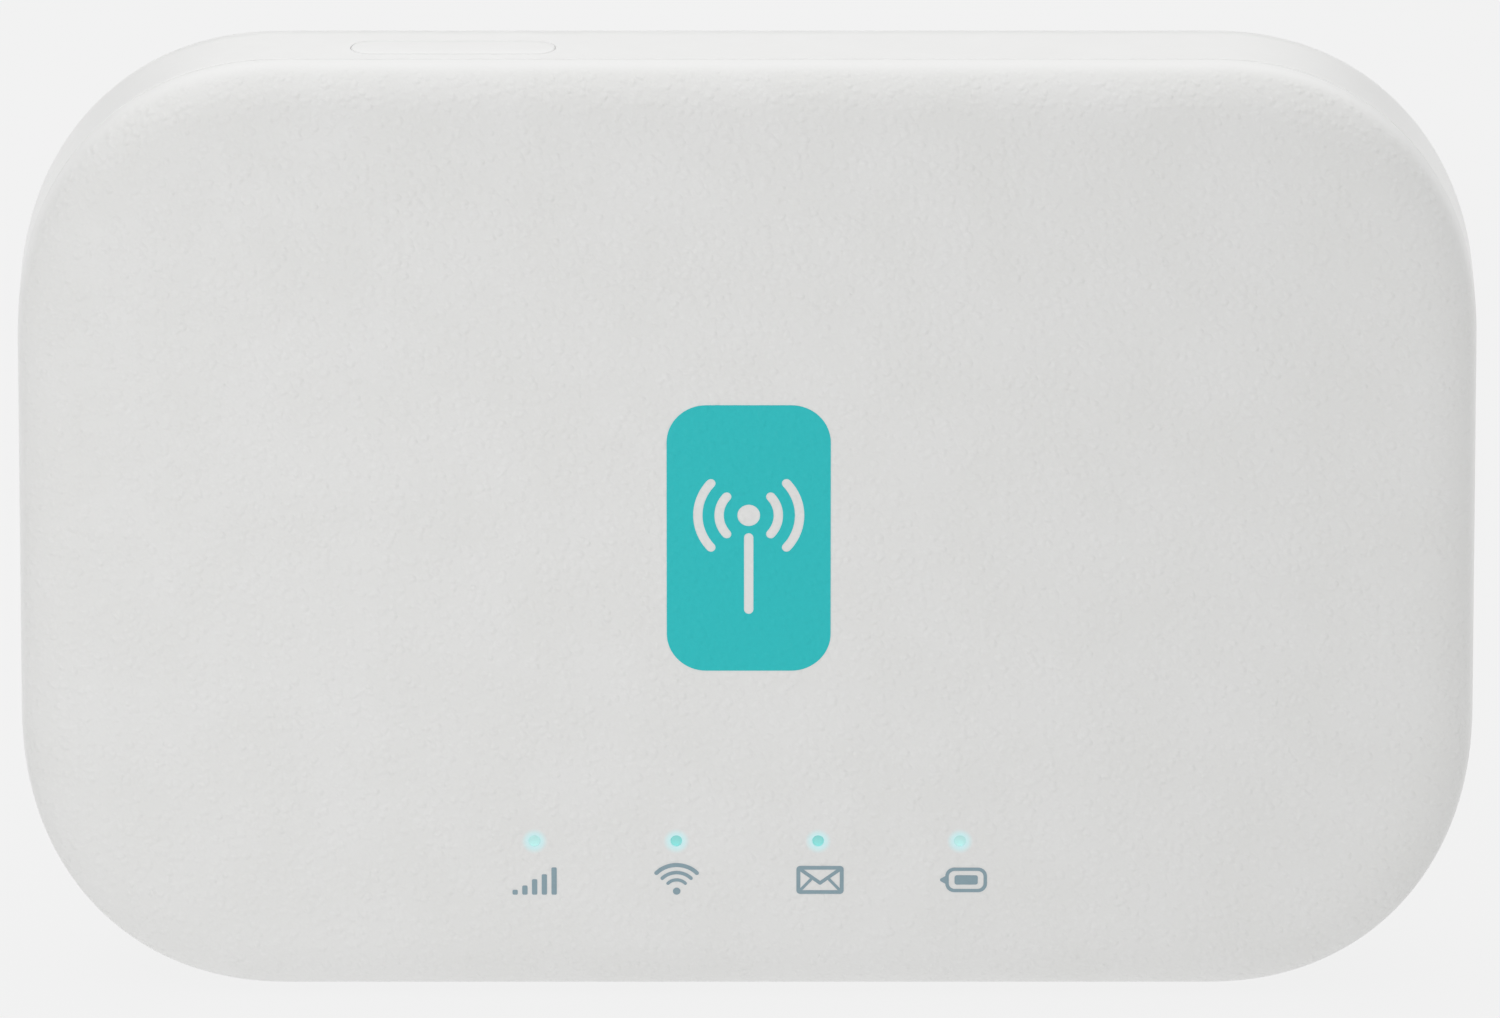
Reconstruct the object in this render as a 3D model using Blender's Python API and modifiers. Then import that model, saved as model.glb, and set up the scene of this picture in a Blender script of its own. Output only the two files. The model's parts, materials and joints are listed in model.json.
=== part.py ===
"""A pocket 4G hotspot: a small battery router in a rounded white case, standing on its lower long side.

X runs across the face, Y from the front face to the back cover and Z up. The origin is under the middle of
the body. Lengths are written in millimetres and turned into metres by MM. The case is three shells: a crowned
front cover, a mid frame whose rim is the smooth side band, and a back cover that lifts off the battery bay.
"""

import math

import bmesh
import bpy
from mathutils import Matrix, Vector

MM = 0.001

# ---- Case ----
BODY_WIDTH, BODY_HEIGHT, BODY_DEPTH = 96.0, 64.4, 14.0
CORNER_REACH_X, CORNER_REACH_Z = 17.6, 19.3
CORNER_POWER = 2.17
CORNER_STEPS = 8
SMALLEST_CORNER = 0.5
FRONT_Y, BACK_Y = -BODY_DEPTH / 2, BODY_DEPTH / 2
MID_Z = BODY_HEIGHT / 2
SEAM = 0.1

FRONT_EDGE_REACH, FRONT_EDGE_DEPTH, FRONT_EDGE_POWER = 4.6, 3.8, 2.6
FRONT_CROWN, CROWN_REACH = 0.3, 16.0
FRONT_SKIN, FRONT_WALL, FRONT_INNER_RADIUS = 1.5, 1.2, 2.2
FRONT_RIM_Y = FRONT_Y + FRONT_CROWN + FRONT_EDGE_DEPTH

BACK_EDGE_RADIUS = 5.0
BACK_ROUND_Y = BACK_Y - BACK_EDGE_RADIUS
BACK_RIM_Y = 3.4
BACK_SKIN = 1.3
TAB_TIP_Y = 2.6

FRAME_FLOOR = (-0.6, 0.3)
FRAME_LIP = (1.85, 2.75)
FRONT_LIP = (1.65, 2.6)
FRONT_LIP_Y, BACK_LIP_Y = -3.8, 4.6

# ---- Circuit board ----
BOARD_Y = (-2.5, -1.6)
BOARD_INSET = 2.9
BOARD_FRONT, BOARD_BACK = BOARD_Y
SOLDER = 0.05

# ---- Indicator row on the front face ----
LIGHT_PITCH = 9.38
LIGHT_Z = 11.1
LIGHT_NAMES = ("signal", "wifi", "message", "battery")
LIGHT_X = [LIGHT_PITCH * (i - 1.5) for i in range(4)]
LIGHT_POST_RADIUS, LIGHT_HOLE_RADIUS = 0.38, 0.44
LIGHT_PIN_X = (-LIGHT_PITCH, LIGHT_PITCH)
LIGHT_BAR = ((-17.0, -5.1, LIGHT_Z - 1.5), (17.0, -4.2, LIGHT_Z + 1.5))

# ---- Fastening ----
SCREWS = ((43.3, 22.0), (43.3, 42.0), (-43.3, 24.0), (-43.3, 40.0), (0.0, 59.2), (18.0, 4.8))
SCREW_HEAD_RADIUS, SCREW_SHANK_RADIUS = 1.3, 0.65
SCREW_SEAT_Y, SCREW_HEAD_Y, SCREW_TIP_Y = 1.25, 2.05, -4.9
BOSS_RADIUS, BOSS_TOP_Y = 1.7, 2.4

# ---- Battery bay, from its low corner to its high one ----
BATTERY = ((-22.0, 0.55, 8.0), (40.0, 5.2, 56.0))
BATTERY_CAP_HEIGHT = 2.9
BATTERY_GAP, RAIL = 0.3, 1.0
RAIL_TOP_Y = 3.8
TERMINALS = ((-16.0, BOARD_BACK + SOLDER, 4.0), (-6.0, 3.6, 7.6))
TERMINAL_X = (-13.8, -11.0, -8.2)
CONTACT_Y = (1.1, 2.8)
CONTACT_HALF_WIDTH, CONTACT_CLEARANCE = 0.55, 0.2

# ---- SIM window: the card slides down out of its socket. Each is a low and a high corner in X and Z ----
SIM_WINDOW = ((-40.4, 17.0), (-25.2, 51.0))
SIM_SOCKET = ((-39.6, 36.5), (-26.0, 49.8))
SIM_CARD = ((-38.8, 34.4), (-26.8, 49.4))
SIM_Y = (-1.30, -0.54)
SIM_CAGE_TOP_Y, SIM_CAGE_SHEET = -0.25, 0.18

# ---- Antennas and their feed clips ----
ANTENNA_Y = (0.35, 0.50)
CLIPS = {"main": (-34.0, 6.1), "diversity": (-34.0, 58.3), "wifi": (20.0, 58.85)}
CLIP_LENGTH, CLIP_WIDTH = 2.2, 1.4

# ---- Openings in the side band ----
BUTTON_Y = -0.6
BUTTON_CAP_WIDTH, BUTTON_PROUD = 2.6, 0.05
POWER_X = -19.3
WPS_Z = 32.0
RESET_X = 10.8
USB_Y = (BOARD_BACK + SOLDER, 0.95)
USB_HALF_WIDTH, USB_CHAMFER, USB_SHEET = 3.75, 0.9, 0.28
USB_MOUTH_Z, USB_REAR_Z = 0.6, 5.7

PARTS = bpy.data.collections.new("pocket_hotspot")
HELPERS = bpy.data.collections.new("cutters and joined shapes")
TURN_Z_TO_Y = Matrix.Rotation(-math.pi / 2, 4, "X")


def clear_scene():
    """Removes the startup objects and links the two collections."""
    for obj in list(bpy.data.objects):
        bpy.data.objects.remove(obj, do_unlink=True)
    bpy.context.scene.collection.children.link(PARTS)
    bpy.context.scene.collection.children.link(HELPERS)


def finish_of(name, colour, roughness, metallic=0.0):
    """A plain Principled material."""
    made = bpy.data.materials.new(name)
    made.use_nodes = True
    shader = made.node_tree.nodes["Principled BSDF"]
    shader.inputs["Base Color"].default_value = (*colour, 1.0)
    shader.inputs["Roughness"].default_value = roughness
    shader.inputs["Metallic"].default_value = metallic
    made.diffuse_color = (*colour, 1.0)
    return made


CASE_WHITE = finish_of("case_white", (0.72, 0.72, 0.70), 0.55)
BAND_WHITE = finish_of("band_white", (0.78, 0.78, 0.77), 0.40)
DARK_PLASTIC = finish_of("dark_plastic", (0.04, 0.04, 0.045), 0.50)
CLEAR_GUIDE = finish_of("clear_guide", (0.70, 0.92, 0.92), 0.15)
BOARD_GREEN = finish_of("board_green", (0.02, 0.16, 0.09), 0.45)
TIN_STEEL = finish_of("tin_steel", (0.62, 0.62, 0.60), 0.30, 1.0)
GOLD = finish_of("gold_contact", (0.83, 0.62, 0.25), 0.25, 1.0)
CELL_WRAP = finish_of("cell_wrap", (0.75, 0.76, 0.76), 0.50)
FOAM = finish_of("black_foam", (0.02, 0.02, 0.02), 0.95)
PAPER = finish_of("paper_label", (0.88, 0.88, 0.86), 0.70)
COPPER_FLEX = finish_of("copper_flex", (0.55, 0.30, 0.14), 0.40, 0.6)


# ---- Shape helpers ----
def new_object(name, bm, material=None):
    """An object in the parts collection from a bmesh, with round faces shaded smooth."""
    bmesh.ops.recalc_face_normals(bm, faces=bm.faces)
    mesh = bpy.data.meshes.new(name)
    bm.to_mesh(mesh)
    bm.free()
    mesh.shade_smooth()
    mesh.set_sharp_from_angle(angle=math.radians(30))
    if material:
        mesh.materials.append(material)
    obj = bpy.data.objects.new(name, mesh)
    PARTS.objects.link(obj)
    return obj


def box(name, low, high, material=None, corner=0.0, along="Y", steps=4):
    """A box from its low corner to its high one. corner rounds the four edges that run along one axis."""
    low, high = Vector(low), Vector(high)
    bm = bmesh.new()
    bmesh.ops.create_cube(bm, size=1.0, matrix=Matrix.Diagonal((*((high - low) * MM), 1.0)))
    if corner:
        axis = "XYZ".index(along)
        edges = [e for e in bm.edges if abs((e.verts[0].co - e.verts[1].co).normalized()[axis]) > 0.99]
        bmesh.ops.bevel(bm, geom=edges, offset=corner * MM, segments=steps, profile=0.5, affect="EDGES")
    obj = new_object(name, bm, material)
    obj.location = (low + high) / 2 * MM
    return obj


def post(name, x, z, y_low, y_high, radius, material=None, segments=20):
    """A round post along Y."""
    bm = bmesh.new()
    bmesh.ops.create_cone(
        bm,
        cap_ends=True,
        segments=segments,
        radius1=radius * MM,
        radius2=radius * MM,
        depth=(y_high - y_low) * MM,
        matrix=TURN_Z_TO_Y,
    )
    obj = new_object(name, bm, material)
    obj.location = Vector((x, (y_low + y_high) / 2, z)) * MM
    return obj


def eased(share, power):
    """A sine or cosine drawn out so that the curve it makes is a superellipse of this power."""
    return math.copysign(abs(share) ** (2 / power), share)


def body_ring(inset, y):
    """The body's outline at depth y, drawn in by inset: superellipse corners joined by straight runs."""
    reach_x = max(CORNER_REACH_X - inset, SMALLEST_CORNER)
    reach_z = max(CORNER_REACH_Z - inset, SMALLEST_CORNER)
    points = []
    for corner, (side_x, side_z) in enumerate(((1, 1), (-1, 1), (-1, -1), (1, -1))):
        centre_x = side_x * (BODY_WIDTH / 2 - inset - reach_x)
        centre_z = MID_Z + side_z * (BODY_HEIGHT / 2 - inset - reach_z)
        for step in range(CORNER_STEPS + 1):
            angle = math.pi / 2 * (corner + step / CORNER_STEPS)
            x = centre_x + reach_x * eased(math.cos(angle), CORNER_POWER)
            z = centre_z + reach_z * eased(math.sin(angle), CORNER_POWER)
            points.append(Vector((x, y, z)) * MM)
    return points


def loft(name, profile, material):
    """A solid through the body's outline at each (inset, y) of the profile, capped at both ends.

    The faces are made here because no primitive or modifier lofts one rounded outline into the next."""
    bm = bmesh.new()
    rings = [[bm.verts.new(point) for point in body_ring(inset, y)] for inset, y in profile]
    count = len(rings[0])
    for near, far in zip(rings, rings[1:]):
        for i in range(count):
            j = (i + 1) % count
            bm.faces.new((near[i], near[j], far[j], far[i]))
    bm.faces.new(rings[0])
    bm.faces.new(rings[-1])
    return new_object(name, bm, material)


def outline_solid(name, points, low, high, material=None):
    """A flat outline in local X and Y, filled and extruded along local Z from low to high, as a mesh."""
    curve = bpy.data.curves.new(name, "CURVE")
    curve.dimensions = "2D"
    curve.fill_mode = "BOTH"
    curve.extrude = (high - low) / 2 * MM
    spline = curve.splines.new("POLY")
    spline.points.add(len(points) - 1)
    for point, (x, y) in zip(spline.points, points):
        point.co = (x * MM, y * MM, 0.0, 1.0)
    spline.use_cyclic_u = True
    drawn = bpy.data.objects.new(name, curve)
    PARTS.objects.link(drawn)
    bpy.context.view_layer.update()
    mesh = bpy.data.meshes.new_from_object(drawn.evaluated_get(bpy.context.evaluated_depsgraph_get()))
    bpy.data.objects.remove(drawn)
    bm = bmesh.new()
    bm.from_mesh(mesh)
    bpy.data.meshes.remove(mesh)
    bmesh.ops.remove_doubles(bm, verts=bm.verts, dist=0.001 * MM)
    obj = new_object(name, bm, material)
    obj.location.z = (low + high) / 2 * MM
    return obj


def combine(target, operation, others):
    """Joins to the target, or cuts from it, every shape in others."""
    group = bpy.data.collections.new(f"{target.name} {operation.lower()}")
    HELPERS.children.link(group)
    for other in others:
        PARTS.objects.unlink(other)
        group.objects.link(other)
        other.hide_render = True
        other.display_type = "WIRE"
    modifier = target.modifiers.new(operation.title(), "BOOLEAN")
    modifier.operation = operation
    modifier.solver = "EXACT"
    modifier.operand_type = "COLLECTION"
    modifier.collection = group


def join(target, *others):
    combine(target, "UNION", others)


def cut(target, *others):
    combine(target, "DIFFERENCE", others)


def soften(obj, width, segments=2, angle=40):
    """Rounds the edges that turn by more than angle degrees."""
    modifier = obj.modifiers.new("Bevel", "BEVEL")
    modifier.width = width * MM
    modifier.segments = segments
    modifier.limit_method = "ANGLE"
    modifier.angle_limit = math.radians(angle)


def flatten_shading():
    """Keeps the flat faces of cut and joined shapes looking flat. It changes only the normals."""
    for obj in PARTS.objects:
        if obj.type == "MESH" and any(m.type == "BOOLEAN" for m in obj.modifiers):
            normals = obj.modifiers.new("Normals", "WEIGHTED_NORMAL")
            normals.keep_sharp = True


def carrier(name, place, turn_y=0.0):
    """An empty on a joint's axis, or on the face that a group of pieces is built from."""
    empty = bpy.data.objects.new(name, None)
    empty.empty_display_size = 5 * MM
    empty.location = Vector(place) * MM
    empty.rotation_euler.y = math.radians(turn_y)
    PARTS.objects.link(empty)
    bpy.context.view_layer.update()
    return empty


def hang(empty, *objects):
    """Parents objects to the empty and leaves them where they are."""
    for obj in objects:
        obj.parent = empty
        obj.matrix_parent_inverse = empty.matrix_world.inverted()


def attach(empty, *objects):
    """Parents objects that were drawn in the empty's own axes."""
    for obj in objects:
        obj.parent = empty


# ---- Case shells ----
def front_surface(inset):
    """Depth of the front face this far in from the outline: a shallow crown, rounded over at the edge."""
    crown = FRONT_CROWN * max(0.0, 1 - inset / CROWN_REACH) ** 2
    short = max(0.0, 1 - inset / FRONT_EDGE_REACH)
    edge = FRONT_EDGE_DEPTH * (1 - (1 - short**FRONT_EDGE_POWER) ** (1 / FRONT_EDGE_POWER))
    return FRONT_Y + crown + edge


def front_cover():
    outer = [(inset, front_surface(inset)) for inset in (CROWN_REACH, 11.0, 7.0)]
    for degrees in (84, 70, 56, 42, 26, 0):
        inset = FRONT_EDGE_REACH * (1 - eased(math.cos(math.radians(degrees)), FRONT_EDGE_POWER))
        outer.append((inset, front_surface(inset)))
    inner = []
    for degrees in (0, 30, 60, 90):
        turn = math.radians(degrees)
        inset = FRONT_WALL + FRONT_INNER_RADIUS * (1 - math.cos(turn))
        y = FRONT_RIM_Y - (FRONT_RIM_Y - FRONT_Y - FRONT_SKIN) * math.sin(turn)
        inner.append((inset, y))
    shell = loft("front_cover", outer + inner, CASE_WHITE)
    ceiling = FRONT_Y + FRONT_SKIN / 2
    bosses = [post("boss", x, z, ceiling, BOARD_FRONT - SEAM, BOSS_RADIUS - 0.1) for x, z in SCREWS]
    pins = [post("pin", x, LIGHT_Z, ceiling, -4.3, 0.6, segments=12) for x in LIGHT_PIN_X]
    join(shell, *bosses, *pins)
    pilots = [post("pilot", x, z, SCREW_TIP_Y - 0.2, BOARD_FRONT, 0.70, segments=16) for x, z in SCREWS]
    windows = [post("window", x, LIGHT_Z, FRONT_Y - 1, -5.0, LIGHT_HOLE_RADIUS) for x in LIGHT_X]
    cut(shell, *pilots, *windows)
    return shell


def mid_frame():
    """The chassis: side band, lips that locate both covers, floor, battery rails and screw bosses."""
    band_back = BACK_RIM_Y - SEAM
    rise = (band_back - BACK_ROUND_Y) / BACK_EDGE_RADIUS
    band_back_inset = BACK_EDGE_RADIUS * (1 - math.sqrt(1 - rise**2))
    profile = (
        (FRAME_LIP[1], FRAME_FLOOR[1]),
        (FRAME_LIP[1], BACK_LIP_Y),
        (FRAME_LIP[0], BACK_LIP_Y),
        (FRAME_LIP[0], band_back),
        (band_back_inset, band_back),
        (0.0, BACK_ROUND_Y),
        (0.0, FRONT_RIM_Y + SEAM),
        (FRONT_LIP[0], FRONT_RIM_Y + SEAM),
        (FRONT_LIP[0], FRONT_LIP_Y),
        (FRONT_LIP[1], FRONT_LIP_Y),
        (FRONT_LIP[1], FRAME_FLOOR[0]),
    )
    frame = loft("mid_frame", profile, BAND_WHITE)
    bay_low = Vector(BATTERY[0]) - Vector((BATTERY_GAP,) * 3)
    bay_high = Vector(BATTERY[1]) + Vector((BATTERY_GAP,) * 3)
    rails = box(
        "rails",
        (bay_low.x - RAIL, FRAME_FLOOR[0] + 0.2, bay_low.z - RAIL + 0.1),
        (bay_high.x + RAIL, RAIL_TOP_Y, bay_high.z + RAIL - 0.1),
        corner=2.0,
    )
    bosses = [post("boss", x, z, BOARD_BACK + SOLDER, BOSS_TOP_Y, BOSS_RADIUS) for x, z in SCREWS]
    join(frame, rails, *bosses)
    bay = box("bay", (bay_low.x, FRAME_FLOOR[1], bay_low.z), (bay_high.x, BACK_Y, bay_high.z), corner=0.9)
    holes = [post("hole", x, z, -2.0, BOSS_TOP_Y + 1, 0.8, segments=16) for x, z in SCREWS]
    seats = [post("seat", x, z, SCREW_SEAT_Y - SEAM / 2, BOSS_TOP_Y + 1, 1.45) for x, z in SCREWS]
    cut(frame, bay, *frame_windows(), *holes)
    cut(frame, *seats)
    return frame


def frame_windows():
    """Cutters for the openings through the mid frame's floor, rails and side band."""
    (sim_low_x, sim_low_z), (sim_high_x, sim_high_z) = SIM_WINDOW
    under_floor = FRAME_FLOOR[0] - 1.3
    around = 0.4
    terminal_low = (TERMINALS[0][0] - around, under_floor, TERMINALS[0][2] - around)
    terminal_high = (TERMINALS[1][0] + around, RAIL_TOP_Y + 1, TERMINALS[1][2] + 0.6)
    usb_low = (-USB_HALF_WIDTH - 0.2, USB_Y[0] - 0.2, -1.0)
    usb_high = (USB_HALF_WIDTH + 0.2, USB_Y[1] + 0.2, USB_REAR_Z + 0.6)
    feeds = [
        box(
            "feed window",
            (x - around, under_floor, z - CLIP_WIDTH / 2 - around),
            (x + CLIP_LENGTH + around, 1.0, z + CLIP_WIDTH / 2 + around),
        )
        for x, z in CLIPS.values()
    ]
    return (
        *feeds,
        box("sim window", (sim_low_x, under_floor, sim_low_z), (sim_high_x, 2.0, sim_high_z), corner=1.5),
        box("thumb notch", (8.0, 1.6, 54.0), (24.0, BACK_Y, 58.6), corner=1.5),
        box("terminal window", terminal_low, terminal_high),
        box("usb slot", usb_low, usb_high, corner=0.6, along="Z"),
        box("reset window", (RESET_X - 2.3, under_floor, 2.0), (RESET_X + 2.3, 0.6, 6.2)),
    )


def back_cover():
    """The lift-off cover: a flat back rounded into the side band, with tabs that locate inside the frame."""
    outer = []
    rim_turn = math.asin((BACK_RIM_Y - BACK_ROUND_Y) / BACK_EDGE_RADIUS)
    for share in (1.0, 0.75, 0.5, 0.25, 0.0):
        turn = rim_turn + (math.pi / 2 - rim_turn) * share
        inset = BACK_EDGE_RADIUS * (1 - math.cos(turn))
        outer.append((inset, BACK_ROUND_Y + BACK_EDGE_RADIUS * math.sin(turn)))
    inner = [(1.35, BACK_RIM_Y), (1.45, 4.2), (2.0, 5.1), (3.2, BACK_Y - BACK_SKIN)]
    cover = loft("back_cover", outer + inner, CASE_WHITE)
    across, along = 0.8, 6.0
    edge = 3.0 + across / 2
    tabs = [tab(x, BODY_HEIGHT - edge, along, across) for x in (-27.0, 17.0)]
    tabs += [tab(x, edge, along, across) for x in (-27.0, 28.0)]
    tabs += [tab(side * (BODY_WIDTH / 2 - edge), MID_Z, across, along) for side in (-1, 1)]
    join(cover, *tabs)
    pry_notch = box("pry notch", (24.0, BACK_RIM_Y - 1, -1.0), (33.0, BACK_RIM_Y + 0.7, 0.75), corner=0.6)
    cut(cover, pry_notch)
    return cover


def tab(x, z, width, height):
    """A blade that stands forward from the back cover's inner face."""
    low = (x - width / 2, TAB_TIP_Y, z - height / 2)
    high = (x + width / 2, BACK_Y - BACK_SKIN / 2, z + height / 2)
    return box("tab", low, high)


# ---- Indicator row ----
def light_guide():
    """A clear bar behind the face with a post through each window and a collector over each light."""
    bar = box("light_guide", *LIGHT_BAR, CLEAR_GUIDE, corner=1.2)
    back, front = LIGHT_BAR[1][1], LIGHT_BAR[0][1]
    for x in LIGHT_X:
        lens = post("lens", x, LIGHT_Z, FRONT_Y + 0.1, front + 0.3, LIGHT_POST_RADIUS, segments=16)
        collector = post("collector", x, LIGHT_Z, back - 0.3, -3.35, 0.95, segments=16)
        join(bar, lens, collector)
    cut(bar, *[post("pin hole", x, LIGHT_Z, front - 1, back + 1, 0.75, segments=12) for x in LIGHT_PIN_X])


def light_shield():
    low = (LIGHT_BAR[0][0], LIGHT_BAR[1][1] + SEAM, LIGHT_Z - 2)
    shield = box("led_shield_foam", low, (LIGHT_BAR[1][0], BOARD_FRONT - SEAM, LIGHT_Z + 2), FOAM)
    half = 1.45
    for x in LIGHT_X:
        cut(shield, box("cell", (x - half, -5.0, LIGHT_Z - half), (x + half, -2.0, LIGHT_Z + half)))


def indicator_lights():
    for name, x in zip(LIGHT_NAMES, LIGHT_X):
        low = (x - 0.8, -3.15, LIGHT_Z - 0.4)
        high = (x + 0.8, BOARD_FRONT - SOLDER, LIGHT_Z + 0.4)
        box(f"led_{name}", low, high, CELL_WRAP)


# ---- Circuit board and what it carries ----
def circuit_board():
    board = loft("main_board", [(BOARD_INSET, BOARD_BACK), (BOARD_INSET, BOARD_FRONT)], BOARD_GREEN)
    holes = [post("hole", x, z, BOARD_FRONT - 1, BOARD_BACK + 1, 1.0, segments=16) for x, z in SCREWS]
    cut(board, *holes)


def shield_can(name, low_x, low_z, high_x, high_z):
    """A pressed tin lid, open towards the board."""
    top, wall = -4.15, 0.2
    low, high = (low_x, top, low_z), (high_x, BOARD_FRONT - SOLDER, high_z)
    can = box(name, low, high, TIN_STEEL, corner=0.8, steps=3)
    inner_low = (low_x + wall, top + wall, low_z + wall)
    inner_high = (high_x - wall, BOARD_BACK, high_z - wall)
    cut(can, box("hollow", inner_low, inner_high, corner=0.6, steps=3))


def chip(name, x, z, width, height, thickness):
    low = (x - width / 2, BOARD_FRONT - SOLDER - thickness, z - height / 2)
    high = (x + width / 2, BOARD_FRONT - SOLDER, z + height / 2)
    box(name, low, high, DARK_PLASTIC)


def electronics():
    circuit_board()
    shield_can("shield_can_modem", -19.0, 22.0, 9.0, 46.0)
    shield_can("shield_can_radio", 14.0, 24.0, 34.0, 42.0)
    chip("modem_chip", -10.0, 36.0, 12.0, 12.0, 0.95)
    chip("memory_chip", 2.5, 38.0, 9.0, 10.0, 0.8)
    chip("power_chip", 1.5, 27.5, 6.0, 6.0, 0.8)
    chip("wifi_chip", 24.0, 33.0, 7.0, 7.0, 0.8)
    box("thermal_pad", (-14.0, -4.75, 26.0), (4.0, -4.25, 42.0), FOAM)


def usb_outline(grow):
    """The socket's outline in X and Y, drawn out by grow: square on the board, chamfered opposite."""
    half_x = USB_HALF_WIDTH + grow
    low_y, high_y = USB_Y[0] - grow, USB_Y[1] + grow
    return [
        (-half_x, low_y),
        (half_x, low_y),
        (half_x, high_y - USB_CHAMFER),
        (half_x - USB_CHAMFER, high_y),
        (-half_x + USB_CHAMFER, high_y),
        (-half_x, high_y - USB_CHAMFER),
    ]


def usb_socket():
    shell = outline_solid("usb_shell", usb_outline(0.0), USB_MOUTH_Z, USB_REAR_Z, TIN_STEEL)
    cut(shell, outline_solid("usb bore", usb_outline(-USB_SHEET), USB_MOUTH_Z - 1, USB_REAR_Z + 1))
    inside = usb_outline(-USB_SHEET - 0.08)
    block = outline_solid("usb_insulator", inside, USB_REAR_Z - 1.2, USB_REAR_Z - 0.1, DARK_PLASTIC)
    tongue_low = (-2.0, USB_Y[0] + 0.62, USB_MOUTH_Z + 0.7)
    tongue_high = (2.0, USB_Y[0] + 1.22, USB_REAR_Z - 0.6)
    join(block, box("tongue", tongue_low, tongue_high))


def sim_slot():
    (low_x, low_z), (high_x, high_z) = SIM_SOCKET
    board_side, margin = BOARD_BACK + SOLDER, 0.3
    base_low = (low_x + margin, board_side, low_z)
    base_high = (high_x - margin, SIM_Y[0] - 0.07, high_z - margin)
    box("sim_socket_base", base_low, base_high, DARK_PLASTIC)
    cage = box("sim_socket_cage", (low_x, board_side, low_z), (high_x, SIM_CAGE_TOP_Y, high_z), TIN_STEEL)
    sheet = SIM_CAGE_SHEET
    inner_low = (low_x + sheet, BOARD_BACK - 0.5, low_z - 1)
    inner_high = (high_x - sheet, SIM_CAGE_TOP_Y - sheet, high_z - sheet)
    cut(cage, box("inside", inner_low, inner_high))
    middle_x, through = (low_x + high_x) / 2, (-1.0, 0.5)
    for x in (middle_x - 3.4, middle_x + 3.4):
        cut(cage, box("slot", (x - 1.6, through[0], 40.0), (x + 1.6, through[1], 46.5), corner=0.5))
    bay_low, bay_high = (middle_x - 3.5, through[0], low_z - 1), (middle_x + 3.5, through[1], low_z + 1.8)
    cut(cage, box("finger bay", bay_low, bay_high, corner=0.7))


def sim_card():
    (low_x, low_z), (high_x, high_z) = SIM_CARD
    card = box("sim_card", (low_x, SIM_Y[0], low_z), (high_x, SIM_Y[1], high_z), CASE_WHITE, corner=1.0)
    notch = box("key corner", (-1.6, -1.0, -1.6), (1.6, 1.0, 1.6))
    notch.location = Vector((high_x, sum(SIM_Y) / 2, high_z)) * MM
    notch.rotation_euler.y = math.radians(45)
    cut(card, notch)
    hang(carrier("sim_slide", ((low_x + high_x) / 2, sum(SIM_Y) / 2, low_z)), card)


def tact_switch(name, base, body_length, body_depth, plunger_length):
    """A side-acting switch drawn in the carrier's axes, with its plunger standing out towards local +Z."""
    body_top, pocket_depth = -3.1, 0.9
    board_side = BOARD_BACK + SOLDER - BUTTON_Y
    half_y = 0.8
    body = box(
        f"{name}_switch",
        (-body_length / 2, board_side, body_top - body_depth),
        (body_length / 2, board_side + 2 * half_y, body_top),
        DARK_PLASTIC,
    )
    half_u, half_v, play = plunger_length / 2, 0.5, 0.06
    pocket_low = (-half_u - play, -half_v - play, body_top - pocket_depth)
    pocket = box("pocket", pocket_low, (half_u + play, half_v + play, body_top + 1))
    cut(body, pocket)
    plunger_low, plunger_high = (-half_u, -half_v, body_top - 0.42), (half_u, half_v, body_top + 0.6)
    plunger = box(f"{name}_plunger", plunger_low, plunger_high, CELL_WRAP)
    attach(base, body, pocket, plunger)


def side_button(name, place, turn_y, cap_length, frame):
    """A key in the side band over its switch. Local +Z points out of the case, and the key moves along -Z."""
    base = carrier(f"{name}_press", place, turn_y)
    half_u, half_v, play = cap_length / 2, BUTTON_CAP_WIDTH / 2, 0.12
    cap_low, cap_high = (-half_u, -half_v, -1.8), (half_u, half_v, BUTTON_PROUD)
    cap = box(f"{name}_button", cap_low, cap_high, BAND_WHITE, half_v - 0.02, "Z", steps=5)
    flange = box("flange", (-half_u - 0.7, -half_v - 0.3, -2.0), (half_u + 0.7, half_v + 0.3, -1.3))
    rib = box("rib", (-1.5, -0.6, -2.4), (1.5, 0.6, -1.7))
    join(cap, flange, rib)
    slot_low, slot_high = (-half_u - play, -half_v - play, -2.5), (half_u + play, half_v + play, 2.0)
    slot = box("slot", slot_low, slot_high, corner=half_v, along="Z", steps=5)
    pocket = box("pocket", (-half_u - 1.1, -half_v - 0.5, -6.3), (half_u + 1.1, half_v + 0.5, -1.2))
    attach(base, cap, flange, rib, slot, pocket)
    cut(frame, slot, pocket)
    return base


def controls(frame):
    power = side_button("power", (POWER_X, BUTTON_Y, BODY_HEIGHT), 0, 13.4, frame)
    tact_switch("power", power, 6.0, 3.0, 2.6)
    wps = side_button("wps", (BODY_WIDTH / 2, BUTTON_Y, WPS_Z), 90, 5.0, frame)
    tact_switch("wps", wps, 4.4, 3.0, 2.2)
    reset = carrier("reset_press", (RESET_X, BUTTON_Y, -0.2), 180)
    tact_switch("reset", reset, 3.6, 2.4, 1.2)
    pinhole = box("pinhole", (-0.5, -0.5, -3.6), (0.5, 0.5, 1.0), None, 0.48, "Z", steps=4)
    attach(reset, pinhole)
    cut(frame, pinhole)


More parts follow.
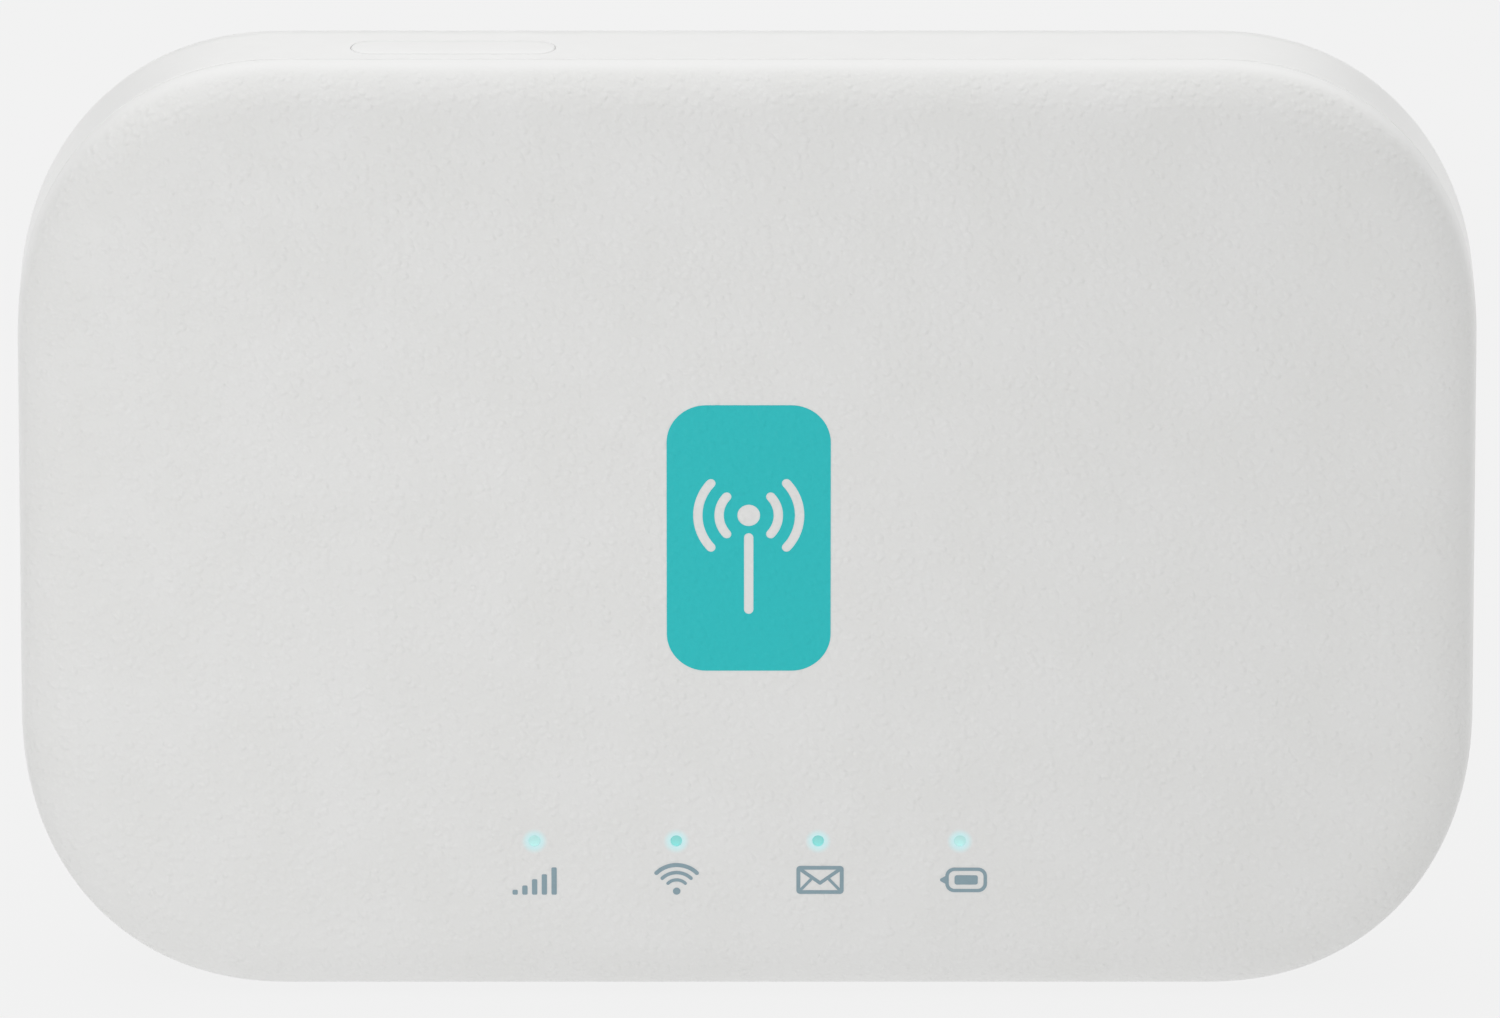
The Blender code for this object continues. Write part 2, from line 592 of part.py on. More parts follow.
# ---- Battery ----
def battery():
    (low_x, low_y, low_z), (high_x, high_y, high_z) = BATTERY
    split = low_z + BATTERY_CAP_HEIGHT
    cell = box("battery_cell", (low_x, low_y, split + SEAM), (high_x, high_y, high_z), CELL_WRAP)
    soften(cell, 0.8, 3)
    cap = box("battery_cap", (low_x, low_y, low_z), (high_x, high_y, split), DARK_PLASTIC)
    soften(cap, 0.4, 2)
    half = CONTACT_HALF_WIDTH + 0.35
    recess_y = (CONTACT_Y[0] - CONTACT_CLEARANCE, CONTACT_Y[1] + CONTACT_CLEARANCE)
    for x in TERMINAL_X:
        cut(cap, box("pad recess", (x - half, recess_y[0], low_z - 1), (x + half, recess_y[1], low_z + 0.25)))
    lift = carrier("battery_lift", ((low_x + high_x) / 2, low_y, (low_z + high_z) / 2))
    hang(lift, cell, cap)


def battery_terminals():
    block = box("battery_terminal_block", *TERMINALS, DARK_PLASTIC)
    top, half, around = TERMINALS[1][2], CONTACT_HALF_WIDTH, 0.15
    low_y, high_y = CONTACT_Y
    for number, x in enumerate(TERMINAL_X, 1):
        pocket_low = (x - half - around, low_y - CONTACT_CLEARANCE, top - 1.2)
        cut(block, box("pocket", pocket_low, (x + half + around, high_y + CONTACT_CLEARANCE, top + 1)))
        contact_low, contact_high = (x - half, low_y, top - 1.1), (x + half, high_y, top + 0.3)
        box(f"battery_contact_{number}", contact_low, contact_high, GOLD, corner=0.3, along="X", steps=3)


# ---- Antennas ----
def corner_strip(name, side_z, first, last):
    """A flex antenna on the frame's floor that follows the left case corner over or under the SIM window."""
    centre_x = CORNER_REACH_X - BODY_WIDTH / 2
    centre_z = side_z * (BODY_HEIGHT / 2 - CORNER_REACH_X)
    inner, outer, steps = 10.3, 13.3, 6
    turns = [math.radians(first + (last - first) * i / steps) for i in range(steps + 1)]
    bends = [(outer, turn) for turn in turns] + [(inner, turn) for turn in reversed(turns)]
    points = [(centre_x + r * math.cos(t), centre_z + side_z * r * math.sin(t)) for r, t in bends]
    half = (ANTENNA_Y[1] - ANTENNA_Y[0]) / 2
    strip = outline_solid(name, points, -half, half, COPPER_FLEX)
    strip.rotation_euler.x = math.radians(90)
    strip.location = Vector((0.0, sum(ANTENNA_Y) / 2, MID_Z)) * MM


def contact_clip(name, x, z):
    """A C-shaped spring from the board's back, through the floor, up to an antenna's feed point."""
    sheet, length = 0.15, CLIP_LENGTH
    rise = ANTENNA_Y[0] - SOLDER - BOARD_BACK - SOLDER
    points = [(0, 0), (length, 0), (length, sheet), (sheet, sheet), (sheet, rise - sheet)]
    points += [(length, rise - sheet), (length, rise), (0, rise)]
    clip = outline_solid(name, points, -CLIP_WIDTH / 2, CLIP_WIDTH / 2, GOLD)
    clip.location = Vector((x, BOARD_BACK + SOLDER, z)) * MM


def antennas():
    corner_strip("lte_main_antenna", -1, 96, 150)
    corner_strip("lte_diversity_antenna", 1, 96, 150)
    box("wifi_antenna", (4.0, ANTENNA_Y[0], 57.7), (24.0, ANTENNA_Y[1], 60.0), COPPER_FLEX, corner=0.6)
    for name, (x, z) in CLIPS.items():
        contact_clip(f"antenna_clip_{name}", x, z)


# ---- Screws ----
def screw_mesh():
    """A pan-head screw turned about local Z, with a cross recess."""
    length = SCREW_HEAD_Y - SCREW_TIP_Y
    head = SCREW_HEAD_Y - SCREW_SEAT_Y
    profile = (
        (0.0, 0.0),
        (SCREW_HEAD_RADIUS - 0.2, 0.0),
        (SCREW_HEAD_RADIUS, -0.2),
        (SCREW_HEAD_RADIUS, -head),
        (SCREW_SHANK_RADIUS, -head),
        (SCREW_SHANK_RADIUS, 0.4 - length),
        (0.35, -length),
        (0.0, -length),
    )
    mesh = bpy.data.meshes.new("screw profile")
    points = [Vector((r, 0.0, z)) * MM for r, z in profile]
    mesh.from_pydata(points, [(i, i + 1) for i in range(len(points) - 1)], [])
    turned = bpy.data.objects.new("turned screw", mesh)
    PARTS.objects.link(turned)
    spin = turned.modifiers.new("Screw", "SCREW")
    spin.steps = spin.render_steps = 16
    spin.use_merge_vertices = True
    spin.merge_threshold = 0.00001
    arm, width = 0.85, 0.18
    cross = [
        box("cross", (-arm, -width, -0.4), (arm, width, 1.0)),
        box("cross", (-width, -arm, -0.4), (width, arm, 1.0)),
    ]
    cut(turned, *cross)
    bpy.context.view_layer.update()
    made = bpy.data.meshes.new_from_object(turned.evaluated_get(bpy.context.evaluated_depsgraph_get()))
    for helper in (turned, *cross):
        bpy.data.objects.remove(helper)
    made.name = "case_screw"
    made.materials.clear()
    made.materials.append(TIN_STEEL)
    return made


def screws():
    mesh = screw_mesh()
    for number, (x, z) in enumerate(SCREWS, 1):
        screw = bpy.data.objects.new(f"case_screw_{number}", mesh)
        PARTS.objects.link(screw)
        screw.location = Vector((x, SCREW_HEAD_Y, z)) * MM
        screw.rotation_euler.x = math.radians(-90)


def soft_parts():
    box("bay_label", (-8.0, 0.33, 16.0), (30.0, 0.45, 46.0), PAPER, corner=1.0)
    return box("battery_foam_pad", (-14.0, 5.3, 17.0), (32.0, 5.62, 47.0), FOAM, corner=1.0)


def build():
    clear_scene()
    front_cover()
    frame = mid_frame()
    cover = back_cover()
    light_guide()
    light_shield()
    indicator_lights()
    electronics()
    usb_socket()
    sim_slot()
    sim_card()
    controls(frame)
    battery()
    battery_terminals()
    antennas()
    screws()
    foam_pad = soft_parts()
    hang(carrier("cover_lift", (0.0, BACK_Y, MID_Z)), cover, foam_pad)
    flatten_shading()


build()
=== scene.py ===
"""The looks of the pocket 4G hotspot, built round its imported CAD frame.

X runs across the face, Y from the front face to the back cover and Z up. Lengths are in millimetres and are
turned into metres by MM. The case shells, the keys, the battery, the screws and the USB socket are made again
here with fine curves, in the places the frame gives. The other CAD nodes stay and get their materials.
"""

import json
import math

import bmesh
import bpy
from mathutils import Matrix, Vector


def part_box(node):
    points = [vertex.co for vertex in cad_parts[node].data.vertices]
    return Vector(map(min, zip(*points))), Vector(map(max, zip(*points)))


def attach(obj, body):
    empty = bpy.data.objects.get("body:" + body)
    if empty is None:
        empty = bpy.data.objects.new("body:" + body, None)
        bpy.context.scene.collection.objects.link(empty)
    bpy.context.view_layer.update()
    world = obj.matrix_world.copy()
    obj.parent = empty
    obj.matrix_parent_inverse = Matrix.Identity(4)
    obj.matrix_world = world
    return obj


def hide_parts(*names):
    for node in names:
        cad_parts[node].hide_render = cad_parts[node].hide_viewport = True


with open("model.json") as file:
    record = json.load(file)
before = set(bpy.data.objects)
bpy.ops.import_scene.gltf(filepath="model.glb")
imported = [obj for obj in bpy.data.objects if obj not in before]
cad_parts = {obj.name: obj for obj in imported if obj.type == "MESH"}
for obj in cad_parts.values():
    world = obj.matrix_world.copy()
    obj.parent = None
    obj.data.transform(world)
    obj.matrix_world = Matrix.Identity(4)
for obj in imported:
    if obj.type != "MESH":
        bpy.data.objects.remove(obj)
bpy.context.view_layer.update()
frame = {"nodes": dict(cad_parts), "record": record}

MM = 0.001
X, Y, Z = Vector((1, 0, 0)), Vector((0, 1, 0)), Vector((0, 0, 1))


def span(node):
    """A CAD node's lowest and highest corners in millimetres."""
    low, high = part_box(node)
    return low / MM, high / MM


def middle(node):
    low, high = span(node)
    return (low + high) / 2


# ---- Case outline and section, as the CAD has them ----
CASE_LOW, CASE_HIGH = span("mid_frame")
WIDTH, HEIGHT = CASE_HIGH.x - CASE_LOW.x, CASE_HIGH.z - CASE_LOW.z
MID_Z = HEIGHT / 2
FRONT_Y, BACK_Y = span("front_cover")[0].y, span("back_cover")[1].y
CORNER_REACH_X, CORNER_REACH_Z, CORNER_POWER = 17.6, 19.3, 2.17
CORNER_STEPS = 40
SMALLEST_CORNER = 0.5
QUARTERS = ((1, 1), (-1, 1), (-1, -1), (1, -1))
SHARP_ANGLE = math.radians(32)

EDGE_REACH, EDGE_DEPTH, EDGE_POWER = 4.6, 3.8, 2.6
CROWN, CROWN_REACH = 0.3, 16.0
RIM_Y = FRONT_Y + CROWN + EDGE_DEPTH
FRONT_WALL, FRONT_SKIN, FRONT_INNER_RADIUS = 1.2, 1.5, 2.2

BACK_RADIUS, BACK_RIM_Y, BACK_SKIN = 5.0, 3.4, 1.3
BACK_ROUND_Y = BACK_Y - BACK_RADIUS
SEAM, SEAM_ROUND = 0.06, 0.12

BOARD_LOW, BOARD_HIGH = span("main_board")
FLOOR_Y = (-0.6, 0.3)
FRAME_LIP, FRONT_LIP = (1.85, 2.75), (1.65, 2.6)
FRONT_LIP_Y, BACK_LIP_Y = CASE_LOW.y, CASE_HIGH.y
RAIL, RAIL_TOP_Y, BAY_GAP = 1.0, 3.8, 0.3
BOSS_RADIUS, BOSS_TOP_Y = 1.7, 2.4
WINDOW_GAP = 0.4
KEY_WIDTH, KEY_FLANGE = 2.6, 0.7
TAB_EDGE, TAB_THICK, TAB_LONG, TAB_TIP_Y = 3.4, 0.8, 6.0, 2.6

SCREW_NODES = [f"case_screw_{number}" for number in range(1, 7)]
LIGHT_NODES = ("led_signal", "led_wifi", "led_message", "led_battery")
CLIP_NODES = ("antenna_clip_main", "antenna_clip_diversity", "antenna_clip_wifi")
LIGHT_X = [middle(node).x for node in LIGHT_NODES]
LIGHT_Z = middle(LIGHT_NODES[0]).z
LIGHT_PITCH = (LIGHT_X[-1] - LIGHT_X[0]) / 3
POST_RADIUS, OUTER_POSTS_FROM = 0.38, 9.0
ICON_Z = 8.35
INK_RISE, FILM_RISE, FILM_DEPTH = 0.02, 0.012, 0.02
HEAD_HEIGHT, HEAD_RADIUS, CROSS_ARMS = 0.8, 1.3, ((0.85, 0.18), (0.18, 0.85))
SHANK_RADIUS, THREAD_RADIUS, THREAD_PITCH = 0.52, 0.65, 0.4


# ---- Shape helpers. All points are in millimetres ----
def add_object(name, data):
    obj = bpy.data.objects.new(name, data)
    bpy.context.scene.collection.objects.link(obj)
    return obj


def make_object(name, bm, material):
    """An object from a bmesh drawn in millimetres, in world place, with round faces shaded smooth."""
    bmesh.ops.remove_doubles(bm, verts=bm.verts, dist=0.0002)
    bmesh.ops.recalc_face_normals(bm, faces=bm.faces)
    bm.transform(Matrix.Scale(MM, 4))
    mesh = bpy.data.meshes.new(name)
    bm.to_mesh(mesh)
    bm.free()
    mesh.shade_smooth()
    mesh.set_sharp_from_angle(angle=SHARP_ANGLE)
    mesh.materials.append(material)
    return add_object(name, mesh)


def loft(name, rings, material=None):
    """A closed solid through rings of equally many points, capped at both ends."""
    bm = bmesh.new()
    rows = [[bm.verts.new(point) for point in ring] for ring in rings]
    count = len(rows[0])
    for near, far in zip(rows, rows[1:]):
        for i in range(count):
            j = (i + 1) % count
            bm.faces.new((near[i], near[j], far[j], far[i]))
    bm.faces.new(rows[0])
    bm.faces.new(rows[-1])
    return make_object(name, bm, material)


def eased(share, power):
    """A sine or cosine drawn out so that the curve it makes is a superellipse of this power."""
    return math.copysign(abs(share) ** (2 / power), share)


def case_ring(inset, y):
    """The case's outline at depth y, drawn in by inset."""
    reach_x = max(CORNER_REACH_X - inset, SMALLEST_CORNER)
    reach_z = max(CORNER_REACH_Z - inset, SMALLEST_CORNER)
    points = []
    for corner, (side_x, side_z) in enumerate(QUARTERS):
        centre_x = side_x * (WIDTH / 2 - inset - reach_x)
        centre_z = MID_Z + side_z * (HEIGHT / 2 - inset - reach_z)
        for step in range(CORNER_STEPS + 1):
            turn = math.pi / 2 * (corner + step / CORNER_STEPS)
            x = centre_x + reach_x * eased(math.cos(turn), CORNER_POWER)
            z = centre_z + reach_z * eased(math.sin(turn), CORNER_POWER)
            points.append(Vector((x, y, z)))
    return points


def case_loft(name, profile, material):
    return loft(name, [case_ring(inset, y) for inset, y in profile], material)


def place_at(origin, across, outward):
    """Local axes at a point: X along across, Z along outward."""
    side = outward.cross(across)
    axes = Matrix((across, side, outward)).transposed().to_4x4()
    return Matrix.Translation(origin) @ axes


def round_box(half_u, half_v, radius, steps=8):
    """The outline of a rectangle with round corners."""
    radius = min(radius, half_u - 0.004, half_v - 0.004)
    points = []
    for corner, (side_u, side_v) in enumerate(QUARTERS):
        for step in range(steps + 1):
            turn = math.pi / 2 * (corner + step / steps)
            u = side_u * (half_u - radius) + radius * math.cos(turn)
            v = side_v * (half_v - radius) + radius * math.sin(turn)
            points.append((u, v))
    return points


def stack(name, place, levels, material=None):
    """A solid through outlines at rising depths. levels holds (outline, depth) in the place's own axes."""
    rings = [[place @ Vector((u, v, depth)) for u, v in outline] for outline, depth in levels]
    return loft(name, rings, material)


def plug(name, place, half_u, half_v, radius, profile, material=None, steps=8):
    """A round-cornered block whose outline grows by the first number at the depth of the second."""
    levels = []
    for grow, depth in profile:
        corner = max(radius + grow, 0.05)
        levels.append((round_box(half_u + grow, half_v + grow, corner, steps), depth))
    return stack(name, place, levels, material)


def turned(name, place, profile, material=None, steps=48):
    """A solid turned about the place's own Z. profile holds (radius, depth)."""
    levels = []
    for radius, depth in profile:
        turns = [2 * math.pi * i / steps for i in range(steps)]
        levels.append(([(radius * math.cos(t), radius * math.sin(t)) for t in turns], depth))
    return stack(name, place, levels, material)


def block(name, low, high, material=None, corner=0.0, along=Y):
    """A box from its low corner to its high one, with its four edges along one axis rounded."""
    low, high = Vector(low), Vector(high)
    centre, half = (low + high) / 2, (high - low) / 2
    across = Z if along == X else X
    place = place_at(centre, across, along)
    half_u = abs(half.dot(across))
    half_v = abs(half.dot(along.cross(across)))
    depth = abs(half.dot(along))
    return plug(name, place, half_u, half_v, max(corner, 0.02), ((0, -depth), (0, depth)), material, 6)


def softened(depth, edge, steps=4):
    """Profile levels that round a block's last edge: grow and depth up to the given depth."""
    turns = [math.pi / 2 * step / steps for step in range(steps + 1)]
    return [(edge * (math.cos(t) - 1), depth - edge + edge * math.sin(t)) for t in turns]


def evaluated_mesh(obj):
    """A mesh of the object as it shows, with its modifiers applied."""
    graph = bpy.context.evaluated_depsgraph_get()
    return bpy.data.meshes.new_from_object(obj.evaluated_get(graph))


def combine(target, operation, others):
    """Joins to the target, or cuts from it, every shape in others, and removes them."""
    group = bpy.data.collections.new("operands")
    for other in others:
        group.objects.link(other)
    modifier = target.modifiers.new("Boolean", "BOOLEAN")
    modifier.operation = operation
    modifier.solver = "EXACT"
    modifier.operand_type = "COLLECTION"
    modifier.collection = group
    mesh = evaluated_mesh(target)
    target.modifiers.clear()
    target.data = mesh
    for other in others:
        bpy.data.objects.remove(other)
    bpy.data.collections.remove(group)
    return target


def join(target, *others):
    return combine(target, "UNION", others)


def cut(target, *others):
    return combine(target, "DIFFERENCE", others)


def reshade(obj):
    """Smooth shading with sharp edges again after cuts, with flat faces kept flat."""
    obj.data.shade_smooth()
    obj.data.set_sharp_from_angle(angle=SHARP_ANGLE)
    normals = obj.modifiers.new("Normals", "WEIGHTED_NORMAL")
    normals.keep_sharp = True
    return obj


def settle(obj, body, slot, *nodes):
    """Rides a finished piece on its body, in the place of the CAD nodes it stands for."""
    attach(obj, body)
    if nodes:
        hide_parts(*nodes)
    return obj


# ---- Material helpers ----
GRAIN_DEPTH, LARGE_PEBBLE, SMALL_PEBBLE = 0.048, 0.62, 0.34
LIP_FROM, LIP_TO = 2.4, 0.8


def node(tree, kind, inputs=None, **settings):
    """Adds a shader node with its settings, and with its inputs set to values or linked to sockets."""
    made = tree.nodes.new("ShaderNode" + kind)
    for key, value in settings.items():
        setattr(made, key, value)
    fill(tree, made.inputs, inputs or {})
    return made


def start(name):
    """A new node material, its tree and object coordinates in metres."""
    made = bpy.data.materials.new(name)
    made.use_nodes = True
    tree = made.node_tree
    where = node(tree, "TexCoord").outputs["Object"]
    return made, tree, where


def split(tree, where):
    """The X, Y and Z of a vector, by name."""
    return node(tree, "SeparateXYZ", {"Vector": where}).outputs


def maths(tree, operation, first, second=0.0):
    return node(tree, "Math", {0: first, 1: second}, operation=operation).outputs[0]


def blend(tree, share, first, second):
    """Mixes two colours."""
    return node(tree, "Mix", {0: share, 6: first, 7: second}, data_type="RGBA").outputs[2]


def ramp(tree, value, low, high, out_low=0.0, out_high=1.0):
    """A smooth step of value from low to high."""
    inputs = {"Value": value, "From Min": low, "From Max": high, "To Min": out_low, "To Max": out_high}
    return node(tree, "MapRange", inputs, interpolation_type="SMOOTHSTEP").outputs["Result"]


def noise(tree, where, pitch, detail=3.0, roughness=0.5):
    """Noise whose features are about pitch millimetres across."""
    inputs = {"Vector": where, "Scale": 1 / (pitch * MM), "Detail": detail, "Roughness": roughness}
    return node(tree, "TexNoise", inputs).outputs["Fac"]


def cloudy(tree, where, pitch, low=0.0, high=1.0, detail=3.0):
    """A value that wanders softly from low to high, in patches about pitch millimetres across."""
    return ramp(tree, noise(tree, where, pitch, detail), 0.3, 0.7, low, high)


def cells(tree, where, pitch, **settings):
    """Distance within cells about pitch millimetres across."""
    inputs = {"Vector": where, "Scale": 1 / (pitch * MM)}
    return node(tree, "TexVoronoi", inputs, **settings).outputs["Distance"]


def stretched(tree, where, scale):
    return node(tree, "Mapping", {"Vector": where, "Scale": scale}).outputs["Vector"]


def bump(tree, height, depth, normal=None):
    """A bump whose height 1 stands depth millimetres proud."""
    inputs = {"Height": height, "Distance": depth * MM, "Strength": 1.0}
    if normal:
        inputs["Normal"] = normal
    return node(tree, "Bump", inputs).outputs["Normal"]


def rgb(red, green, blue):
    return (red, green, blue, 1.0)


def fill(tree, inputs, values):
    """Sets inputs to values, or links them to sockets."""
    for key, value in values.items():
        if isinstance(value, bpy.types.NodeSocket):
            tree.links.new(value, inputs[key])
        else:
            inputs[key].default_value = value


def finished(made, values):
    """Sets a material's Principled shader and returns the material."""
    fill(made.node_tree, made.node_tree.nodes["Principled BSDF"].inputs, values)
    return made


def add_glow(made, share, glow):
    """Mixes an emission over a material's Principled shader."""
    tree = made.node_tree
    shaders = {0: share, 1: tree.nodes["Principled BSDF"].outputs[0], 2: glow.outputs[0]}
    mix = node(tree, "MixShader", shaders)
    tree.links.new(mix.outputs[0], tree.nodes["Material Output"].inputs["Surface"])


def pebble_grain(tree, where):
    """Height of the moulded leather grain: soft pebbles of two sizes with creases between them."""
    warp = node(tree, "TexNoise", {"Vector": where, "Scale": 1 / (0.9 * MM), "Detail": 2.0})
    from_grey = {0: warp.outputs["Color"], 1: (0.5, 0.5, 0.5)}
    centred = node(tree, "VectorMath", from_grey, operation="SUBTRACT").outputs[0]
    push = node(tree, "VectorMath", {0: centred, "Scale": 0.35 * MM}, operation="SCALE").outputs[0]
    place = node(tree, "VectorMath", {0: where, 1: push}).outputs[0]
    large = {"Vector": place, "Scale": 1 / (LARGE_PEBBLE * MM), "Smoothness": 0.35}
    soft_cells = node(tree, "TexVoronoi", large, feature="SMOOTH_F1").outputs["Distance"]
    large_pebble = ramp(tree, soft_cells, 0.08, 0.62, 1.0, 0.0)
    small_pebble = ramp(tree, cells(tree, place, SMALL_PEBBLE), 0.10, 0.60, 0.30, 0.0)
    return maths(tree, "ADD", large_pebble, small_pebble)


# ---- Materials ----
def case_plastic(name, lit=False):
    """Satin white moulding with leather grain and a smooth lip. The lip's paler tone is a painted highlight
    and the grain's hollows carry painted shade. The front one glows round the lights.
    """
    made, tree, where = start(name)
    depth = split(tree, where)["Y"]
    # The smooth lip at the rim: the grain fades out there, and its paler tone below is a painted highlight.
    if lit:
        smooth_lip_highlight = ramp(tree, depth, (RIM_Y - LIP_FROM) * MM, (RIM_Y - LIP_TO) * MM)
    else:
        smooth_lip_highlight = ramp(tree, depth, (BACK_RIM_Y + LIP_TO / 2) * MM, (BACK_RIM_Y + LIP_FROM / 2) * MM, 1.0, 0.0)
    height = maths(tree, "MULTIPLY", pebble_grain(tree, where), maths(tree, "SUBTRACT", 1.0, smooth_lip_highlight))
    patches = cloudy(tree, where, 6.0, detail=4.0)
    tone = blend(tree, patches, rgb(0.730, 0.730, 0.719), rgb(0.744, 0.744, 0.736))
    # Painted shade: the grain's hollows are tinted darker.
    tone = blend(tree, ramp(tree, height, 0.0, 0.5, 0.06, 0.0), tone, rgb(0.60, 0.60, 0.585))
    # Painted highlight: the lip is painted paler than the grained face.
    tone = blend(tree, smooth_lip_highlight, tone, rgb(0.805, 0.805, 0.798))
    grained = bump(tree, height, GRAIN_DEPTH)
    fine = bump(tree, noise(tree, where, 0.12, 2.0), 0.0012, grained)
    if lit:
        glow_round_lights(made, where)
    rough = cloudy(tree, where, 1.6, 0.46, 0.58)
    return finished(made, {"Base Color": tone, "Roughness": rough, "Normal": fine, "IOR": 1.46})


def glow_round_lights(made, where):
    """Lights the thin plastic in a soft ring round each indicator."""
    tree = made.node_tree
    axes = split(tree, where)
    rise = maths(tree, "SUBTRACT", axes["Z"], LIGHT_Z * MM)
    nearest = None
    for x in LIGHT_X:
        run = maths(tree, "SUBTRACT", axes["X"], x * MM)
        square = maths(tree, "ADD", maths(tree, "MULTIPLY", run, run), maths(tree, "MULTIPLY", rise, rise))
        nearest = square if nearest is None else maths(tree, "MINIMUM", nearest, square)
    share = ramp(tree, maths(tree, "SQRT", nearest), 0.42 * MM, 0.95 * MM, 0.72, 0.0)
    front_only = ramp(tree, axes["Y"], (FRONT_Y + 0.8) * MM, (FRONT_Y + 1.4) * MM, 1.0, 0.0)
    glow = node(tree, "Emission", {"Color": rgb(0.56, 0.87, 0.90), "Strength": 1.0})
    add_glow(made, maths(tree, "MULTIPLY", share, front_only), glow)


def band_plastic():
    """Smooth satin white moulding, very slightly mottled, with faint handling marks."""
    made, tree, where = start("band_plastic")
    tone = blend(tree, noise(tree, where, 6.0, 3.0), rgb(0.80, 0.80, 0.79), rgb(0.83, 0.83, 0.825))
    marks = noise(tree, stretched(tree, where, (0.25, 1.0, 1.0)), 0.5, 5.0, 0.65)
    rough = ramp(tree, marks, 0.35, 0.75, 0.33, 0.45)
    orange_peel = bump(tree, noise(tree, where, 0.5, 2.0), 0.0015)
    fine = bump(tree, noise(tree, where, 0.09, 2.0), 0.0006, orange_peel)
    return finished(made, {"Base Color": tone, "Roughness": rough, "Normal": fine, "IOR": 1.46})


def ink(name, colour, gloss, grained=True):
    """A thin printed layer that lies in the grain and has a slightly uneven cover."""
    made, tree, where = start(name)
    cover = ramp(tree, noise(tree, where, 0.25, 4.0, 0.6), 0.25, 0.75, 0.0, 0.16)
    worn = [channel * 1.2 + 0.004 for channel in colour]
    tone = blend(tree, cover, rgb(*colour), rgb(*worn))
    values = {"Base Color": tone, "Specular IOR Level": gloss}
    values["Roughness"] = cloudy(tree, where, 0.4, 0.38, 0.52)
    if grained:
        values["Normal"] = bump(tree, pebble_grain(tree, where), 0.7 * GRAIN_DEPTH)
    return finished(made, values)


def guide_plastic():
    """Clear acrylic, lit from behind: its lenses show the light and the bar stays dim."""
    made, tree, where = start("guide_acrylic")
    axes = split(tree, where)
    outer = maths(tree, "GREATER_THAN", maths(tree, "ABSOLUTE", axes["X"]), OUTER_POSTS_FROM * MM)
    colour = blend(tree, outer, rgb(0.0, 0.125, 0.11), rgb(0.21, 0.22, 0.21))
    front = ramp(tree, axes["Y"], (FRONT_Y + 0.3) * MM, (FRONT_Y + 1.6) * MM, 1.0, 0.0)
    specks = bump(tree, noise(tree, where, 0.2, 3.0), 0.002)
    values = {"Base Color": rgb(0.38, 0.80, 0.78), "Roughness": cloudy(tree, where, 0.7, 0.1, 0.2)}
    values |= {"Transmission Weight": 0.3, "IOR": 1.49, "Normal": specks}
    values |= {"Emission Color": colour, "Emission Strength": front}
    return finished(made, values)


def lit_lamp():
    """The small surface-mount lamps: a pale housing with a lit cyan window."""
    made, tree, where = start("lit_lamp")
    run = maths(tree, "SUBTRACT", split(tree, where)["X"], LIGHT_X[0] * MM)
    phase = maths(tree, "PINGPONG", run, LIGHT_PITCH / 2 * MM)
    window = ramp(tree, phase, 0.35 * MM, 0.5 * MM, 1.0, 0.0)
    values = {"Base Color": blend(tree, window, rgb(0.80, 0.80, 0.76), rgb(0.55, 0.85, 0.85))}
    values["Emission Color"] = rgb(0.08, 0.72, 0.78)
    values["Emission Strength"] = maths(tree, "MULTIPLY", window, 2.0)
    values["Roughness"] = cloudy(tree, where, 0.3, 0.3, 0.45)
    values["Normal"] = bump(tree, noise(tree, where, 0.1), 0.002)
    return finished(made, values)


def board_laminate():
    """Green solder mask over copper traces, with tinned pads and small plated holes. The holes are not cut:
    their dark insides are painted shade.
    """
    made, tree, where = start("board_laminate")
    axes = split(tree, where)
    flat = node(tree, "CombineXYZ", {"X": axes["X"], "Y": axes["Z"]}).outputs[0]
    lines = maths(tree, "PINGPONG", cells(tree, flat, 9.0, distance="MANHATTAN"), 0.045)
    traces = ramp(tree, lines, 0.016, 0.022, 1.0, 0.0)
    holes = cells(tree, flat, 2.6)
    plated = ramp(tree, holes, 0.085, 0.105, 1.0, 0.0)
    drilled_hole_shade = ramp(tree, holes, 0.040, 0.055, 1.0, 0.0)
    mask = blend(tree, traces, rgb(0.012, 0.115, 0.062), rgb(0.030, 0.200, 0.100))
    mask = blend(tree, cloudy(tree, where, 5.0, 0.0, 0.25), mask, rgb(0.008, 0.085, 0.05))
    # The near-black in the holes is painted shade for their depth.
    tone = blend(tree, drilled_hole_shade, blend(tree, plated, mask, rgb(0.62, 0.60, 0.52)), rgb(0.01, 0.01, 0.01))
    height = maths(tree, "SUBTRACT", traces, maths(tree, "MULTIPLY", drilled_hole_shade, 3.0))
    values = {"Base Color": tone, "Metallic": plated, "Roughness": cloudy(tree, where, 1.0, 0.28, 0.42)}
    values |= {"Normal": bump(tree, height, 0.02), "Coat Weight": 0.3, "Coat Roughness": 0.25}
    return finished(made, values)


def brushed_metal(name, colour, pitch, along=(0.05, 1.0, 1.0), rough=(0.22, 0.38), tarnish=0.25):
    """Rolled sheet metal: fine drawn lines, cloudy tarnish and small scratches."""
    made, tree, where = start(name)
    lines = noise(tree, stretched(tree, where, along), pitch, 5.0, 0.6)
    clouds = noise(tree, where, 3.0, 4.0)
    stain = ramp(tree, clouds, 0.45, 0.75, 0.0, tarnish)
    stained, drawn = ([share * channel for channel in colour] for share in (0.55, 0.75))
    tone = blend(tree, stain, rgb(*colour), rgb(*stained))
    tone = blend(tree, ramp(tree, lines, 0.3, 0.7, 0.0, 0.2), tone, rgb(*drawn))
    values = {"Base Color": tone, "Metallic": 1.0, "Roughness": ramp(tree, lines, 0.3, 0.7, *rough)}
    values |= {"Normal": bump(tree, lines, 0.003), "Anisotropic": 0.3}
    return finished(made, values)


